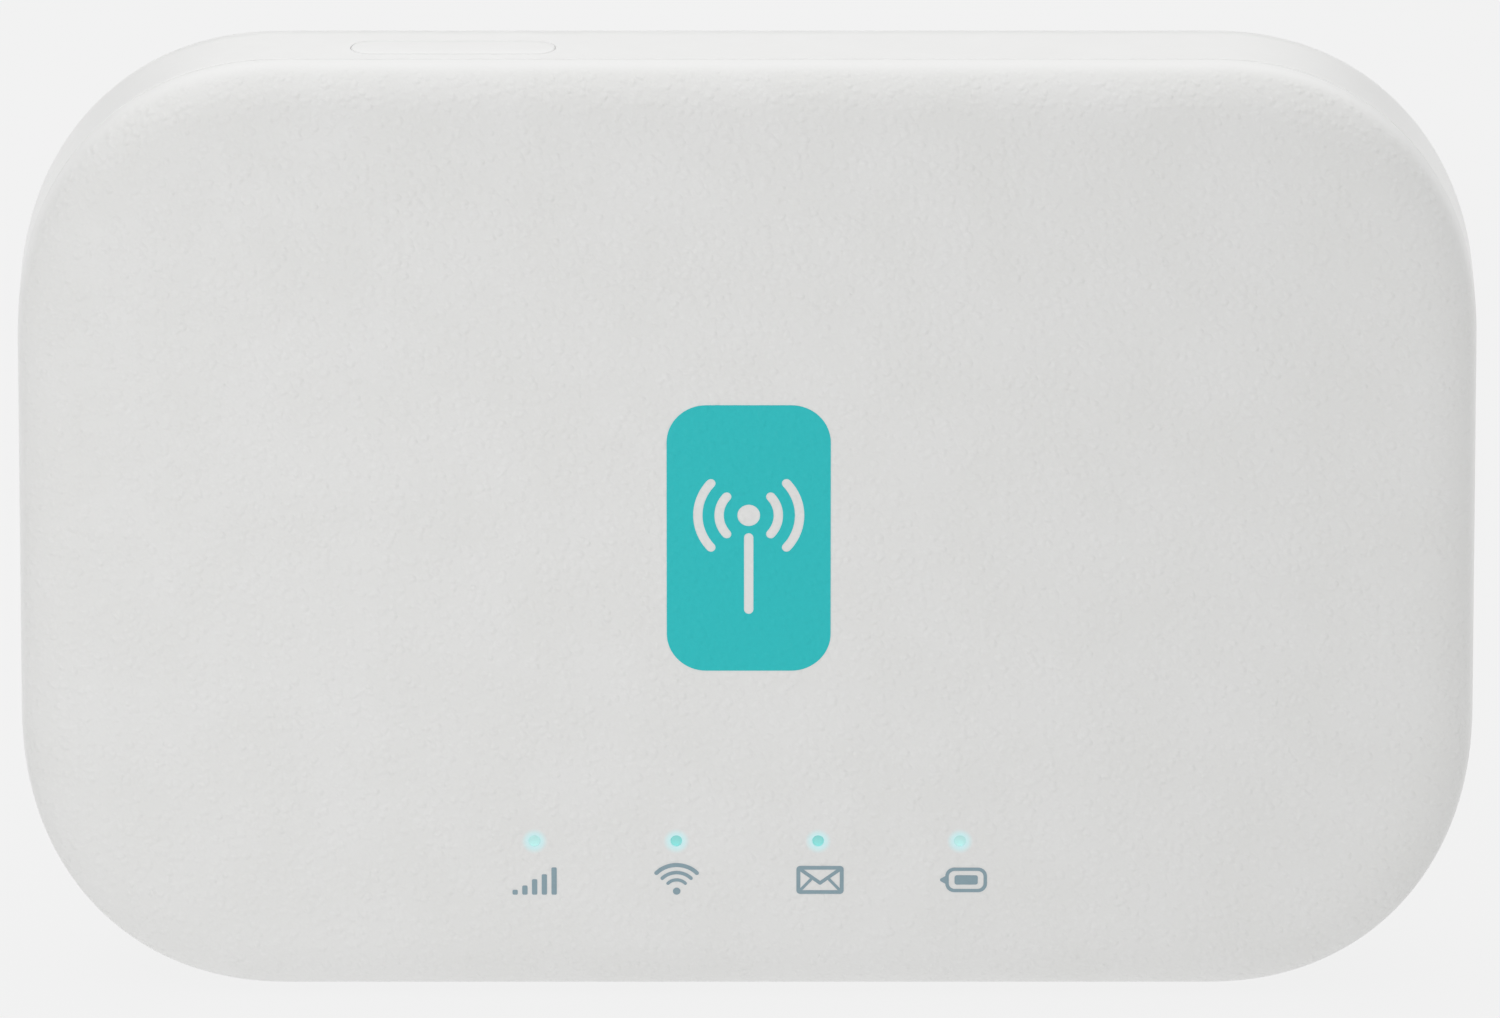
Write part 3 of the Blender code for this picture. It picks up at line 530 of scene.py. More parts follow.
def moulding(name, dark, light, rough, pitch=0.25, depth=0.004):
    """An unpolished inner moulding: sparked texture, flow clouds and a paler tone on the texture's raised
    spots.
    """
    made, tree, where = start(name)
    texture = noise(tree, where, pitch, 3.0, 0.6)
    tone = blend(tree, cloudy(tree, where, 2.5, detail=4.0), rgb(*dark), rgb(*light))
    # A paler tone where the texture stands highest.
    raised_spot_tone = [min(1, channel * 1.6 + 0.01) for channel in light]
    tone = blend(tree, ramp(tree, texture, 0.62, 0.8, 0.0, 0.2), tone, rgb(*raised_spot_tone))
    values = {"Base Color": tone, "Roughness": ramp(tree, texture, 0.3, 0.7, rough - 0.06, rough + 0.06)}
    values["Normal"] = bump(tree, texture, depth)
    return finished(made, values)


def foam():
    """Open-celled black foam, with painted shade in the pores' hollows."""
    made, tree, where = start("open_foam")
    pores = ramp(tree, cells(tree, where, 0.45, feature="SMOOTH_F1"), 0.15, 0.6)
    # Painted shade: the pores' hollows are painted darker than the walls between them.
    tone = blend(tree, pores, rgb(0.008, 0.008, 0.009), rgb(0.045, 0.045, 0.048))
    values = {"Base Color": tone, "Roughness": ramp(tree, pores, 0.0, 1.0, 0.98, 0.88)}
    values |= {"Normal": bump(tree, pores, 0.06), "Sheen Weight": 0.15, "Sheen Roughness": 0.6}
    return finished(made, values)


def cell_film():
    """The battery's pale film: slightly wrinkled, with painted shade in the wrinkles' hollows and painted
    light on their crests.
    """
    made, tree, where = start("cell_film")
    wrinkle = noise(tree, stretched(tree, where, (0.35, 1.0, 1.0)), 5.0, 5.0, 0.45)
    # Painted shade and light: the tone follows the wrinkles' height, darker in the hollows and paler on the
    # crests.
    tone = blend(tree, ramp(tree, wrinkle, 0.3, 0.7), rgb(0.66, 0.675, 0.68), rgb(0.72, 0.73, 0.735))
    values = {"Base Color": tone, "Roughness": cloudy(tree, where, 1.2, 0.26, 0.40)}
    values |= {"Normal": bump(tree, wrinkle, 0.03), "Coat Weight": 0.25, "Coat Roughness": 0.2}
    return finished(made, values)


def label_paper():
    """Matt paper with fibres and plain ruled lines in place of any wording."""
    made, tree, where = start("label_paper")
    low, high = span("bay_label")
    axes = split(tree, where)
    margin, pitch = 2.5, 3.0
    fibres = noise(tree, stretched(tree, where, (0.4, 1.0, 1.0)), 0.3, 5.0, 0.65)
    tone = blend(tree, ramp(tree, fibres, 0.3, 0.75), rgb(0.80, 0.80, 0.775), rgb(0.86, 0.86, 0.845))
    rise = maths(tree, "SUBTRACT", axes["Z"], (low.z + pitch) * MM)
    row = maths(tree, "PINGPONG", rise, pitch / 2 * MM)
    line = ramp(tree, row, 0.12 * MM, 0.17 * MM, 1.0, 0.0)
    for axis, near, far in (("X", low.x, high.x), ("Z", low.z, high.z)):
        past_near = maths(tree, "GREATER_THAN", axes[axis], (near + margin) * MM)
        before_far = maths(tree, "LESS_THAN", axes[axis], (far - margin) * MM)
        line = maths(tree, "MULTIPLY", line, maths(tree, "MULTIPLY", past_near, before_far))
    tone = blend(tree, maths(tree, "MULTIPLY", line, 0.8), tone, rgb(0.22, 0.23, 0.24))
    values = {"Base Color": tone, "Roughness": 0.78, "Normal": bump(tree, fibres, 0.006)}
    return finished(made, values)


def flex_film():
    """Amber film over a copper antenna pattern of parallel runs."""
    made, tree, where = start("flex_film")
    axes = split(tree, where)
    slant = maths(tree, "ADD", axes["X"], axes["Z"])
    runs = ramp(tree, maths(tree, "PINGPONG", slant, 0.55 * MM), 0.16 * MM, 0.20 * MM, 1.0, 0.0)
    tone = blend(tree, runs, rgb(0.60, 0.33, 0.13), rgb(0.33, 0.13, 0.03))
    tone = blend(tree, cloudy(tree, where, 2.0, 0.0, 0.25), tone, rgb(0.22, 0.10, 0.03))
    values = {"Base Color": tone, "Metallic": 0.35, "Roughness": cloudy(tree, where, 0.8, 0.22, 0.36)}
    values |= {"Normal": bump(tree, maths(tree, "SUBTRACT", 1.0, runs), 0.015)}
    values |= {"Coat Weight": 0.6, "Coat Roughness": 0.12}
    return finished(made, values)


CASE_FRONT = case_plastic("case_plastic_front", lit=True)
CASE_BACK = case_plastic("case_plastic_back")
BAND = band_plastic()
TEAL_INK = ink("teal_ink", (0.030, 0.490, 0.508), 0.12)
ICON_INK = ink("icon_ink", (0.235, 0.330, 0.375), 0.3)
FILM_INK = ink("film_ink", (0.10, 0.11, 0.12), 0.4, grained=False)
STEEL = brushed_metal("tin_plate", (0.62, 0.62, 0.60), 0.12)
SCREW_STEEL = brushed_metal("screw_steel", (0.50, 0.50, 0.50), 0.10, (1.0, 0.2, 1.0), (0.25, 0.42), 0.35)
GOLD = brushed_metal("gold_flash", (0.85, 0.60, 0.24), 0.10, (1.0, 1.0, 0.1), (0.18, 0.30), 0.12)
BLACK = moulding("black_moulding", (0.018, 0.018, 0.020), (0.030, 0.030, 0.033), 0.48)
PALE = moulding("pale_moulding", (0.66, 0.67, 0.66), (0.74, 0.75, 0.74), 0.45)
CARD = moulding("card_plastic", (0.80, 0.81, 0.81), (0.85, 0.86, 0.86), 0.40, 0.15, 0.001)
FILM = cell_film()

SLOT_MATERIALS = {
    "case_white": CASE_BACK,
    "band_white": BAND,
    "light_guide": guide_plastic(),
    "lit_led": lit_lamp(),
    "board_green": board_laminate(),
    "tin_steel": STEEL,
    "dark_plastic": BLACK,
    "pale_plastic": PALE,
    "gold_contact": GOLD,
    "copper_flex": flex_film(),
    "cell_wrap": FILM,
    "black_foam": foam(),
    "sim_plastic": CARD,
    "paper_label": label_paper(),
}
EDGE_BREAK = {
    "tin_steel": 0.06,
    "dark_plastic": 0.10,
    "pale_plastic": 0.06,
    "gold_contact": 0.04,
    "sim_plastic": 0.06,
    "board_green": 0.04,
    "black_foam": 0.08,
    "light_guide": 0.05,
    "lit_led": 0.06,
}


def dress_cad_nodes():
    """Gives every CAD node the material of its slot, and breaks the sharp edges of those whose slot has a
    width in EDGE_BREAK.
    """
    for part in frame["record"]["subparts"]:
        obj = frame["nodes"][part["node"]]
        obj.data.materials.clear()
        obj.data.materials.append(SLOT_MATERIALS[part["material_slot"]])
        width = EDGE_BREAK.get(part["material_slot"])
        if not width:
            continue
        weld = obj.modifiers.new("Weld", "WELD")
        weld.merge_threshold = 0.001 * MM
        edge = obj.modifiers.new("Edge break", "BEVEL")
        edge.width = width * MM
        edge.segments = 3
        edge.limit_method = "ANGLE"
        edge.angle_limit = math.radians(40)
        edge.harden_normals = False
        normals = obj.modifiers.new("Normals", "WEIGHTED_NORMAL")
        normals.keep_sharp = False


# ---- Front cover ----
def front_surface(inset):
    """Depth of the front face this far in from the outline."""
    crown = CROWN * max(0.0, 1 - inset / CROWN_REACH) ** 2
    short = max(0.0, 1 - inset / EDGE_REACH)
    return FRONT_Y + crown + EDGE_DEPTH * (1 - (1 - short**EDGE_POWER) ** (1 / EDGE_POWER))


def front_cover():
    outer = [(CROWN_REACH - step, front_surface(CROWN_REACH - step)) for step in range(12)]
    edge_steps = 26
    for step in range(2, edge_steps):
        turn = math.pi / 2 * (1 - step / edge_steps)
        inset = EDGE_REACH * (1 - eased(math.cos(turn), EDGE_POWER))
        outer.append((inset, front_surface(inset)))
    outer += seam_round(RIM_Y, -1)
    inner = []
    for step in range(9):
        turn = math.pi / 2 * step / 8
        inset = FRONT_WALL + FRONT_INNER_RADIUS * (1 - math.cos(turn))
        inner.append((inset, RIM_Y - (RIM_Y - FRONT_Y - FRONT_SKIN) * math.sin(turn)))
    shell = case_loft("front_cover_shell", outer + inner, CASE_FRONT)
    ceiling, boss_top, pilot_radius = FRONT_Y + FRONT_SKIN / 2, BOARD_LOW.y - 0.1, 0.70
    bosses, pilots, windows = [], [], []
    for screw in SCREW_NODES:
        place = screw_axis(screw)
        boss = [(BOSS_RADIUS, ceiling), (BOSS_RADIUS - 0.1, boss_top)]
        pilot = [(pilot_radius, span(screw)[0].y - 0.2), (pilot_radius, boss_top + 1)]
        bosses.append(turned("boss", place, boss, None, 32))
        pilots.append(turned("pilot", place, pilot, None, 24))
    join(shell, *bosses)
    face, bore = front_surface(LIGHT_Z), POST_RADIUS + 0.02
    window = [(POST_RADIUS + 0.35, face - 0.3), (POST_RADIUS + 0.05, face), (bore, face + 0.03), (bore, -5.0)]
    for x in LIGHT_X:
        windows.append(turned("window", place_at((x, 0, LIGHT_Z), X, Y), window))
    cut(shell, *pilots, *windows)
    settle(reshade(shell), "case", "case_white", "front_cover")


def screw_axis(screw, y=0.0):
    """Local axes on a screw's line, pointing to the back."""
    return place_at((middle(screw).x, y, middle(screw).z), X, Y)


def seam_round(y, side):
    """The small round where a shell meets its neighbour at depth y. Its wall runs on from y towards side."""
    turns = [math.pi / 2 * step / 4 for step in range(5)]
    return [(SEAM_ROUND * (1 - math.cos(t)), y + side * SEAM_ROUND * (1 - math.sin(t))) for t in turns]


# ---- Chassis ----
def side_cutters():
    """Openings through the side band for the keys, the reset pin and the USB plug."""
    cutters = []
    for _, place, half, _ in key_places():
        mouth = [(0.03, -2.5), (0.03, -0.06), (0.05, -0.02), (0.08, 0.0), (0.56, 0.5)]
        pocket = [(0, -6.3), (0, -1.2)]
        cutters.append(plug("key slot", place, half, KEY_WIDTH / 2, KEY_WIDTH / 2, mouth, None, 12))
        cutters.append(plug("key pocket", place, half + 1.1, KEY_WIDTH / 2 + 0.5, 0.3, pocket))
    pin = middle("reset_plunger")
    hole = [(0.48, -3.6), (0.48, -0.12), (0.52, -0.04), (0.60, 0.0), (1.0, 0.4)]
    cutters.append(turned("reset hole", place_at((pin.x, pin.y, 0), X, -Z), hole))
    low, high = span("usb_shell")
    centre = (low + high) / 2
    half_u, half_v = (high.x - low.x) / 2 + 0.2, (high.y - low.y) / 2 + 0.2
    place = place_at((centre.x, centre.y, 0), X, -Z)
    mouth = [(0, -6.4), (0, -0.35), (0.08, -0.12), (0.3, 0.02), (0.9, 0.6)]
    cutters.append(plug("usb slot", place, half_u, half_v, 0.75, mouth))
    return cutters


def key_places():
    """Each side key's CAD node, local axes on the band at its middle, half its cap and its height."""
    power, wps = middle("power_button"), middle("wps_button")
    spots = (
        ("power_button", Vector((power.x, power.y, HEIGHT)), X, Z),
        ("wps_button", Vector((WIDTH / 2, wps.y, wps.z)), Z, X),
    )
    keys = []
    for key, origin, across, outward in spots:
        low, high = span(key)
        half = abs((high - low).dot(across)) / 2 - KEY_FLANGE
        keys.append((key, place_at(origin, across, outward), half, high.dot(outward) - origin.dot(outward)))
    return keys


def floor_windows():
    """Openings through the chassis floor, as low and high corners round the parts that show there."""
    under, over = FLOOR_Y[0] - 1.3, FLOOR_Y[1] + 0.7
    cage_low, cage_high = span("sim_socket_cage")
    card_travel_end = span("sim_card")[0].z - 17.4
    card_low = (cage_low.x - 0.8, under, card_travel_end)
    windows = [(card_low, (cage_high.x + 0.8, over, cage_high.z + 1.2), 1.5)]
    for clip in CLIP_NODES:
        low, high = span(clip)
        grown = Vector((WINDOW_GAP, 0, WINDOW_GAP))
        low, high = low - grown, high + grown
        windows.append(((low.x, under, low.z), (high.x, over, high.z), 0.3))
    low, high = span("battery_terminal_block")
    terminal_low = (low.x - WINDOW_GAP, under, low.z - WINDOW_GAP)
    terminal_high = (high.x + WINDOW_GAP, RAIL_TOP_Y + 1, high.z + 0.6)
    windows.append((terminal_low, terminal_high, 0.3))
    x = middle("reset_plunger").x
    windows.append(((x - 2.3, under, 2.0), (x + 2.3, 0.6, 6.2), 0.3))
    return [block("window", low, high, corner=corner) for low, high, corner in windows]


def chassis():
    band_back, front_end = BACK_RIM_Y - SEAM, RIM_Y + SEAM
    profile = [(FRAME_LIP[1], FLOOR_Y[1]), (FRAME_LIP[1], BACK_LIP_Y - 0.2), (FRAME_LIP[1] - 0.2, BACK_LIP_Y)]
    profile += [(FRAME_LIP[0] + 0.3, BACK_LIP_Y), (FRAME_LIP[0], BACK_LIP_Y - 0.3), (FRAME_LIP[0], band_back)]
    profile += [(back_inset(band_back) + grow, y) for grow, y in reversed(seam_round(band_back, -1))][:-1]
    steps = 12
    for step in range(steps + 1):
        y = BACK_ROUND_Y + (band_back - SEAM_ROUND - BACK_ROUND_Y) * (1 - step / steps)
        profile.append((back_inset(y), y))
    profile += seam_round(front_end, 1)
    profile += [(FRONT_LIP[0], front_end), (FRONT_LIP[0], FRONT_LIP_Y)]
    profile += [(FRONT_LIP[1], FRONT_LIP_Y), (FRONT_LIP[1], FLOOR_Y[0])]
    shell = case_loft("chassis_frame", profile, BAND)
    bay_low, bay_high = span("battery_cap")[0], span("battery_cell")[1]
    centre, half = (bay_low + bay_high) / 2, (bay_high - bay_low) / 2
    place = place_at((centre.x, 0, centre.z), X, Y)
    half_u, half_v = half.x + BAY_GAP, half.z + BAY_GAP
    wall = [(0, FLOOR_Y[0] + 0.2)] + softened(RAIL_TOP_Y, 0.25)
    rails = plug("rails", place, half_u + RAIL, half_v + RAIL - 0.1, 2.0, wall, None, 10)
    mouth = [(0, FLOOR_Y[1]), (0, RAIL_TOP_Y - 0.25), (0.07, RAIL_TOP_Y - 0.07)]
    mouth += [(0.25, RAIL_TOP_Y + 0.001), (0.25, BACK_Y)]
    bay = plug("bay", place, half_u, half_v, 0.9, mouth, None, 10)
    bosses, holes, seats = [], [], []
    for screw in SCREW_NODES:
        post = screw_axis(screw)
        boss = [(BOSS_RADIUS + 0.1, BOARD_HIGH.y + 0.05)]
        boss += [(BOSS_RADIUS + grow, y) for grow, y in softened(BOSS_TOP_Y, 0.2)]
        seat_y = span(screw)[1].y - HEAD_HEIGHT - 0.05
        seat = [(1.45, seat_y), (1.45, BOSS_TOP_Y - 0.1), (1.9, BOSS_TOP_Y + 0.35)]
        bosses.append(turned("boss", post, boss, None, 36))
        holes.append(turned("hole", post, [(0.8, -2.2), (0.8, BOSS_TOP_Y + 1)], None, 28))
        seats.append(turned("seat", post, seat, None, 36))
    join(shell, rails, *bosses)
    notch = block("thumb notch", (8.0, 1.6, 54.0), (24.0, BACK_Y, 58.6), corner=1.5)
    cut(shell, bay, notch, *floor_windows(), *side_cutters(), *holes)
    cut(shell, *seats)
    settle(reshade(shell), "case", "band_white", "mid_frame")


def back_inset(y):
    """How far in the rounded back edge is at depth y."""
    rise = min(1.0, max(0.0, (y - BACK_ROUND_Y) / BACK_RADIUS))
    return BACK_RADIUS * (1 - math.sqrt(1 - rise**2))


# ---- Back cover ----
def back_cover():
    rim_turn = math.asin((BACK_RIM_Y - BACK_ROUND_Y) / BACK_RADIUS)
    rim_inset = back_inset(BACK_RIM_Y)
    steps = 22
    outer = [(9.0, BACK_Y), (7.0, BACK_Y)]
    for step in range(steps):
        turn = rim_turn + (math.pi / 2 - rim_turn) * (1 - step / steps)
        outer.append((BACK_RADIUS * (1 - math.cos(turn)), BACK_ROUND_Y + BACK_RADIUS * math.sin(turn)))
    outer += [(rim_inset + grow, y) for grow, y in seam_round(BACK_RIM_Y, 1)][1:]
    ceiling = BACK_Y - BACK_SKIN
    inner = [(1.35, BACK_RIM_Y), (1.40, 3.8), (1.50, 4.3), (1.75, 4.8), (2.15, 5.2), (2.7, 5.5)]
    inner += [(3.4, ceiling), (9.0, ceiling)]
    cover = case_loft("back_cover_shell", outer + inner, CASE_BACK)
    tabs = [snap_tab(x, HEIGHT - TAB_EDGE, TAB_LONG, TAB_THICK) for x in (-27.0, 17.0)]
    tabs += [snap_tab(x, TAB_EDGE, TAB_LONG, TAB_THICK) for x in (-27.0, 28.0)]
    tabs += [snap_tab(side * (WIDTH / 2 - TAB_EDGE), MID_Z, TAB_THICK, TAB_LONG) for side in (-1, 1)]
    join(cover, *tabs)
    pry_low, pry_high = (24.0, BACK_RIM_Y - 1, -1.0), (33.0, BACK_RIM_Y + 0.7, 0.75)
    cut(cover, block("pry notch", pry_low, pry_high, corner=0.35, along=Z))
    settle(reshade(cover), "back_cover", "case_white", "back_cover")


def snap_tab(x, z, width, height):
    """A blade that stands forward from the cover's inner face, with a rounded tip."""
    root = BACK_Y - BACK_SKIN / 2
    place = place_at((x, 0, z), X, -Y)
    blade = [(0.0, -root)] + softened(-TAB_TIP_Y, 0.22)
    return plug("tab", place, width / 2, height / 2, 0.15, blade, None, 4)


# ---- Keys ----
def side_keys():
    """The long power key and the short WPS key: crowned caps over a retaining flange."""
    names = {"power_button": "power_key", "wps_button": "wps_key"}
    half_width = KEY_WIDTH / 2
    for key, place, half, proud in key_places():
        top = softened(proud - 0.02, 0.12, 5) + [(-0.35, proud - 0.006), (-0.8, proud)]
        cap = plug(names[key], place, half, half_width, half_width, [(0, -1.8)] + top, BAND, 12)
        edge = [(0, -2.0)] + softened(-1.3, 0.12)
        flange = plug("flange", place, half + KEY_FLANGE, half_width + 0.3, 0.3, edge)
        rib = plug("rib", place, 1.5, 0.6, 0.2, [(0, -2.4), (0, -1.7)])
        join(cap, flange, rib)
        settle(reshade(cap), key, "band_white", key)


# ---- Battery, its film print and the contact pads ----
def battery():
    low, high = span("battery_cell")
    centre, half = (low + high) / 2, (high - low) / 2
    rise = softened(half.y, 0.9, 6)
    profile = [(grow, -depth) for grow, depth in reversed(rise)] + rise
    cell = plug("battery_pack", place_at(centre, X, Y), half.x, half.z, 1.4, profile, FILM, 8)
    settle(reshade(cell), "battery", "cell_wrap", "battery_cell")
    border, line, foot = 6.0, 0.35, low.z + 2.2

    def mark(x, z, half_u, half_v, corner=0.1):
        """A flat printed block on the film, centred on (x, z)."""
        mark_low = (x - half_u, high.y - FILM_DEPTH, z - half_v)
        return block("mark", mark_low, (x + half_u, high.y + FILM_RISE, z + half_v), FILM_INK, corner)

    minus, plus = mark(-13.8, foot + 0.2, 1.1, 0.2), mark(-8.2, foot + 0.2, 1.1, 0.2)
    upright = mark(-8.2, foot + 0.2, 0.2, 1.1)
    frame_low, frame_high = Vector((low.x + border, 0, low.z + 9)), high - Vector((border, 0, border))
    middle_point, reach = (frame_low + frame_high) / 2, (frame_high - frame_low) / 2
    frame_out = mark(middle_point.x, middle_point.z, reach.x, reach.z, 2.0)
    hole_low = (frame_low.x + line, high.y - 1, frame_low.z + line)
    hole_high = (frame_high.x - line, high.y + 1, frame_high.z - line)
    cut(frame_out, block("hole", hole_low, hole_high, corner=1.7))
    join(frame_out, minus, plus, upright)
    frame_out.name = "battery_print"
    settle(reshade(frame_out), "battery", "cell_wrap")


# ---- Screws ----
def screws():
    """Pan-head screws with a cross recess and a rolled thread."""
    head = -HEAD_HEIGHT
    rounding = [(HEAD_RADIUS, -0.30), (1.28, -0.18), (1.20, -0.09), (1.06, -0.03), (0.90, 0.0)]
    for screw in SCREW_NODES:
        low, high = span(screw)
        tip = low.y - high.y
        place = screw_axis(screw, high.y)
        profile = [(0.2, tip), (0.45, tip + 0.25), (SHANK_RADIUS, tip + 0.5)]
        bottom = tip + 0.6
        for turn in range(int((head - 0.5 - bottom) / THREAD_PITCH)):
            depth = bottom + turn * THREAD_PITCH
            profile += [(SHANK_RADIUS, depth), (THREAD_RADIUS, depth + 0.16)]
            profile += [(THREAD_RADIUS, depth + 0.22), (SHANK_RADIUS, depth + 0.38)]
        profile += [(0.6, head - 0.2), (THREAD_RADIUS, head), (1.25, head), (HEAD_RADIUS, head + 0.05)]
        made = turned(screw + "_fine", place, profile + rounding, SCREW_STEEL, 40)
        arms = [plug("arm", place, u, v, 0.06, [(-0.10, -0.42), (0.0, 0.4)], None, 3) for u, v in CROSS_ARMS]
        cut(made, *arms)
        settle(reshade(made), "case", "tin_steel", screw)


# ---- USB socket ----
def usb_socket():
    """The steel shell with a flared mouth, the black tongue and its five gold contacts."""
    low, high = span("usb_shell")
    centre = Vector(((low.x + high.x) / 2, 0, 0))
    place = place_at(centre, X, -Z)
    half, sheet, chamfer = (high.x - low.x) / 2, 0.28, 0.9

    def outline(grow):
        """Square towards the board and chamfered opposite. Local Y runs towards the board."""
        near, far = -(low.y - grow), -(high.y + grow)
        corners = [(half + grow, near), (half + grow, far + chamfer), (half + grow - chamfer, far)]
        return rounded_polygon(corners + [(-u, v) for u, v in reversed(corners)], 0.32)

    mouth, rear = -low.z, -high.z
    outer = [(outline(0.0), rear), (outline(0.0), mouth - 0.25), (outline(0.06), mouth)]
    bore = [(outline(-sheet), rear - 1), (outline(-sheet), mouth - 0.3)]
    bore += [(outline(0.02 - sheet / 2), mouth + 0.02), (outline(0), mouth + 0.5)]
    shell = stack("usb_shell_fine", place, outer, STEEL)
    cut(shell, stack("bore", place, bore))
    settle(reshade(shell), "case", "tin_steel", "usb_shell")

    block_low, block_high = span("usb_insulator")
    back = [(outline(-sheet - 0.08), -block_high.z), (outline(-sheet - 0.08), 1.1 - block_high.z)]
    insulator = stack("usb_tongue", place, back, BLACK)
    tongue_y = (low.y + 0.62, low.y + 1.22)
    middle_y, half_y = sum(tongue_y) / 2, (tongue_y[1] - tongue_y[0]) / 2
    tongue_place = place_at((centre.x, middle_y, 0), X, -Z)
    reach = [(0, 0.6 - high.z)] + softened(-block_low.z, 0.15)
    tongue = plug("tongue", tongue_place, 2.0, half_y, 0.12, reach)
    join(insulator, tongue)
    settle(reshade(insulator), "case", "dark_plastic", "usb_insulator")
    pins = []
    for i in range(5):
        x = centre.x + 0.65 * (i - 2)
        pin_low = (x - 0.17, tongue_y[1] - 0.05, block_low.z + 0.25)
        pins.append(block("pin", pin_low, (x + 0.17, tongue_y[1] + 0.05, high.z - 1.0), GOLD, 0.05))
    contacts = join(pins[0], *pins[1:])
    contacts.name = "usb_contacts"
    settle(reshade(contacts), "case", "gold_contact")


def rounded_polygon(corners, radius):
    """A closed outline with each corner replaced by an arc-like curve."""
    steps = 5
    points = []
    count = len(corners)
    for i, corner in enumerate(corners):
        here = Vector(corner)
        before, after = Vector(corners[i - 1]) - here, Vector(corners[(i + 1) % count]) - here
        reach = min(radius, before.length * 0.45, after.length * 0.45)
        first, last = here + before.normalized() * reach, here + after.normalized() * reach
        for step in range(steps + 1):
            t = step / steps
            points.append(tuple((1 - t) ** 2 * first + 2 * t * (1 - t) * here + t**2 * last))
    return points


# ---- Printed marks on the front ----
def printed(name, outlines, material):
    """A thin layer of ink on the front face, from closed outlines in (x, z). One inside another is a hole."""
    curve = bpy.data.curves.new(name, "CURVE")
    curve.dimensions = "2D"
    curve.fill_mode = "BOTH"
    curve.extrude = 0.5
    for outline in outlines:
        spline = curve.splines.new("POLY")
        spline.points.add(len(outline) - 1)
        for point, (x, z) in zip(spline.points, outline):
            point.co = (x, z, 0.0, 1.0)
        spline.use_cyclic_u = True
    drawn = add_object(name, curve)
    bpy.context.view_layer.update()
    mesh = evaluated_mesh(drawn)
    bpy.data.objects.remove(drawn)
    bm = bmesh.new()
    bm.from_mesh(mesh)
    bpy.data.meshes.remove(mesh)
    for vert in bm.verts:
        x, z, side = vert.co
        vert.co = (x, front_surface(z) + (INK_RISE if side < 0 else -INK_RISE), z)
    return make_object(name, bm, material)


def capsule(start_point, end_point, width):
    """The outline of a line with round ends."""
    steps = 8
    first, last = Vector(start_point), Vector(end_point)
    heading = math.atan2(last.y - first.y, last.x - first.x)
    points = []
    for centre, turned_by in ((last, -math.pi / 2), (first, math.pi / 2)):
        for step in range(steps + 1):
            turn = heading + turned_by + math.pi * step / steps
            points.append((centre.x + width / 2 * math.cos(turn), centre.y + width / 2 * math.sin(turn)))
    return points


def arc_band(centre, radius, width, middle_turn, half_turn):
    """The outline of an arc of constant width with round ends. Turns are in degrees."""
    steps, end_steps = 28, 8
    points = []
    first, last = math.radians(middle_turn - half_turn), math.radians(middle_turn + half_turn)
    for r, begin, end in ((radius + width / 2, first, last), (radius - width / 2, last, first)):
        for step in range(steps + 1):
            turn = begin + (end - begin) * step / steps
            points.append((centre[0] + r * math.cos(turn), centre[1] + r * math.sin(turn)))
        tip = (centre[0] + radius * math.cos(end), centre[1] + radius * math.sin(end))
        half_turn_on = 0 if end == last else math.pi
        for step in range(1, end_steps):
            turn = end + half_turn_on + math.pi * step / end_steps
            points.append((tip[0] + width / 2 * math.cos(turn), tip[1] + width / 2 * math.sin(turn)))
    return points


def disc(centre, radius, steps=32):
    turns = [2 * math.pi * i / steps for i in range(steps)]
    return [(centre[0] + radius * math.cos(t), centre[1] + radius * math.sin(t)) for t in turns]


def moved(outline, x, z):
    return [(u + x, v + z) for u, v in outline]


def settle_print(obj):
    settle(obj, "case", "case_white")


def badge():
    """A plain teal panel with an open broadcast symbol: a dot on a short mast with two waves to each side."""
    centre_x, centre_z = 0.1, MID_Z + 0.25
    panel = moved(round_box(5.4, 9.3, 2.6, 16), centre_x, centre_z)
    focus = (centre_x, centre_z + 1.6)
    openings = [disc(focus, 0.75)]
    for middle_turn in (0, 180):
        openings += [arc_band(focus, radius, 0.62, middle_turn, 42) for radius in (1.95, 3.35)]
    openings.append(capsule((centre_x, focus[1] - 1.55), (centre_x, centre_z - 5.0), 0.62))
    settle_print(printed("badge_print", [panel, *openings], TEAL_INK))


def signal_icon():
    width, pitch, base = 0.35, 0.645, ICON_Z - 1.05
    bars = []
    for i, height in enumerate((0.34, 0.65, 1.10, 1.45, 1.94)):
        x = LIGHT_X[0] + pitch * (i - 2)
        bars.append(moved(round_box(width / 2, height / 2, 0.09, 4), x, base + height / 2))
    settle_print(printed("signal_icon", bars, ICON_INK))


def wifi_icon():
    foot = (LIGHT_X[1] + 0.02, ICON_Z - 0.8)
    shapes = [disc(foot, 0.25, 24)]
    waves = ((0.80, 0.22), (1.32, 0.24), (1.86, 0.28))
    shapes += [arc_band(foot, radius, width, 90, 46) for radius, width in waves]
    settle_print(printed("wifi_icon", shapes, ICON_INK))


def message_icon():
    x, half_u, half_v, line = LIGHT_X[2] + 0.13, 1.565, 0.995, 0.26
    panel = moved(round_box(half_u, half_v, 0.25), x, ICON_Z)
    opening = moved(round_box(half_u - line, half_v - line, 0.08), x, ICON_Z)
    envelope = printed("message_icon", [panel, opening], ICON_INK)
    corner_u, corner_v, fold = half_u - line * 0.8, half_v - line * 0.8, (0.0, -0.22)
    strokes = []
    for side in (-1, 1):
        corner_x = x + side * corner_u
        strokes.append(capsule((corner_x, ICON_Z + corner_v), (x + fold[0], ICON_Z + fold[1]), 0.24))
        strokes.append(capsule((corner_x, ICON_Z - corner_v), (x + side * 0.62, ICON_Z + 0.02), 0.2))
    join(envelope, *[printed("stroke", [stroke], ICON_INK) for stroke in strokes])
    settle_print(reshade(envelope))


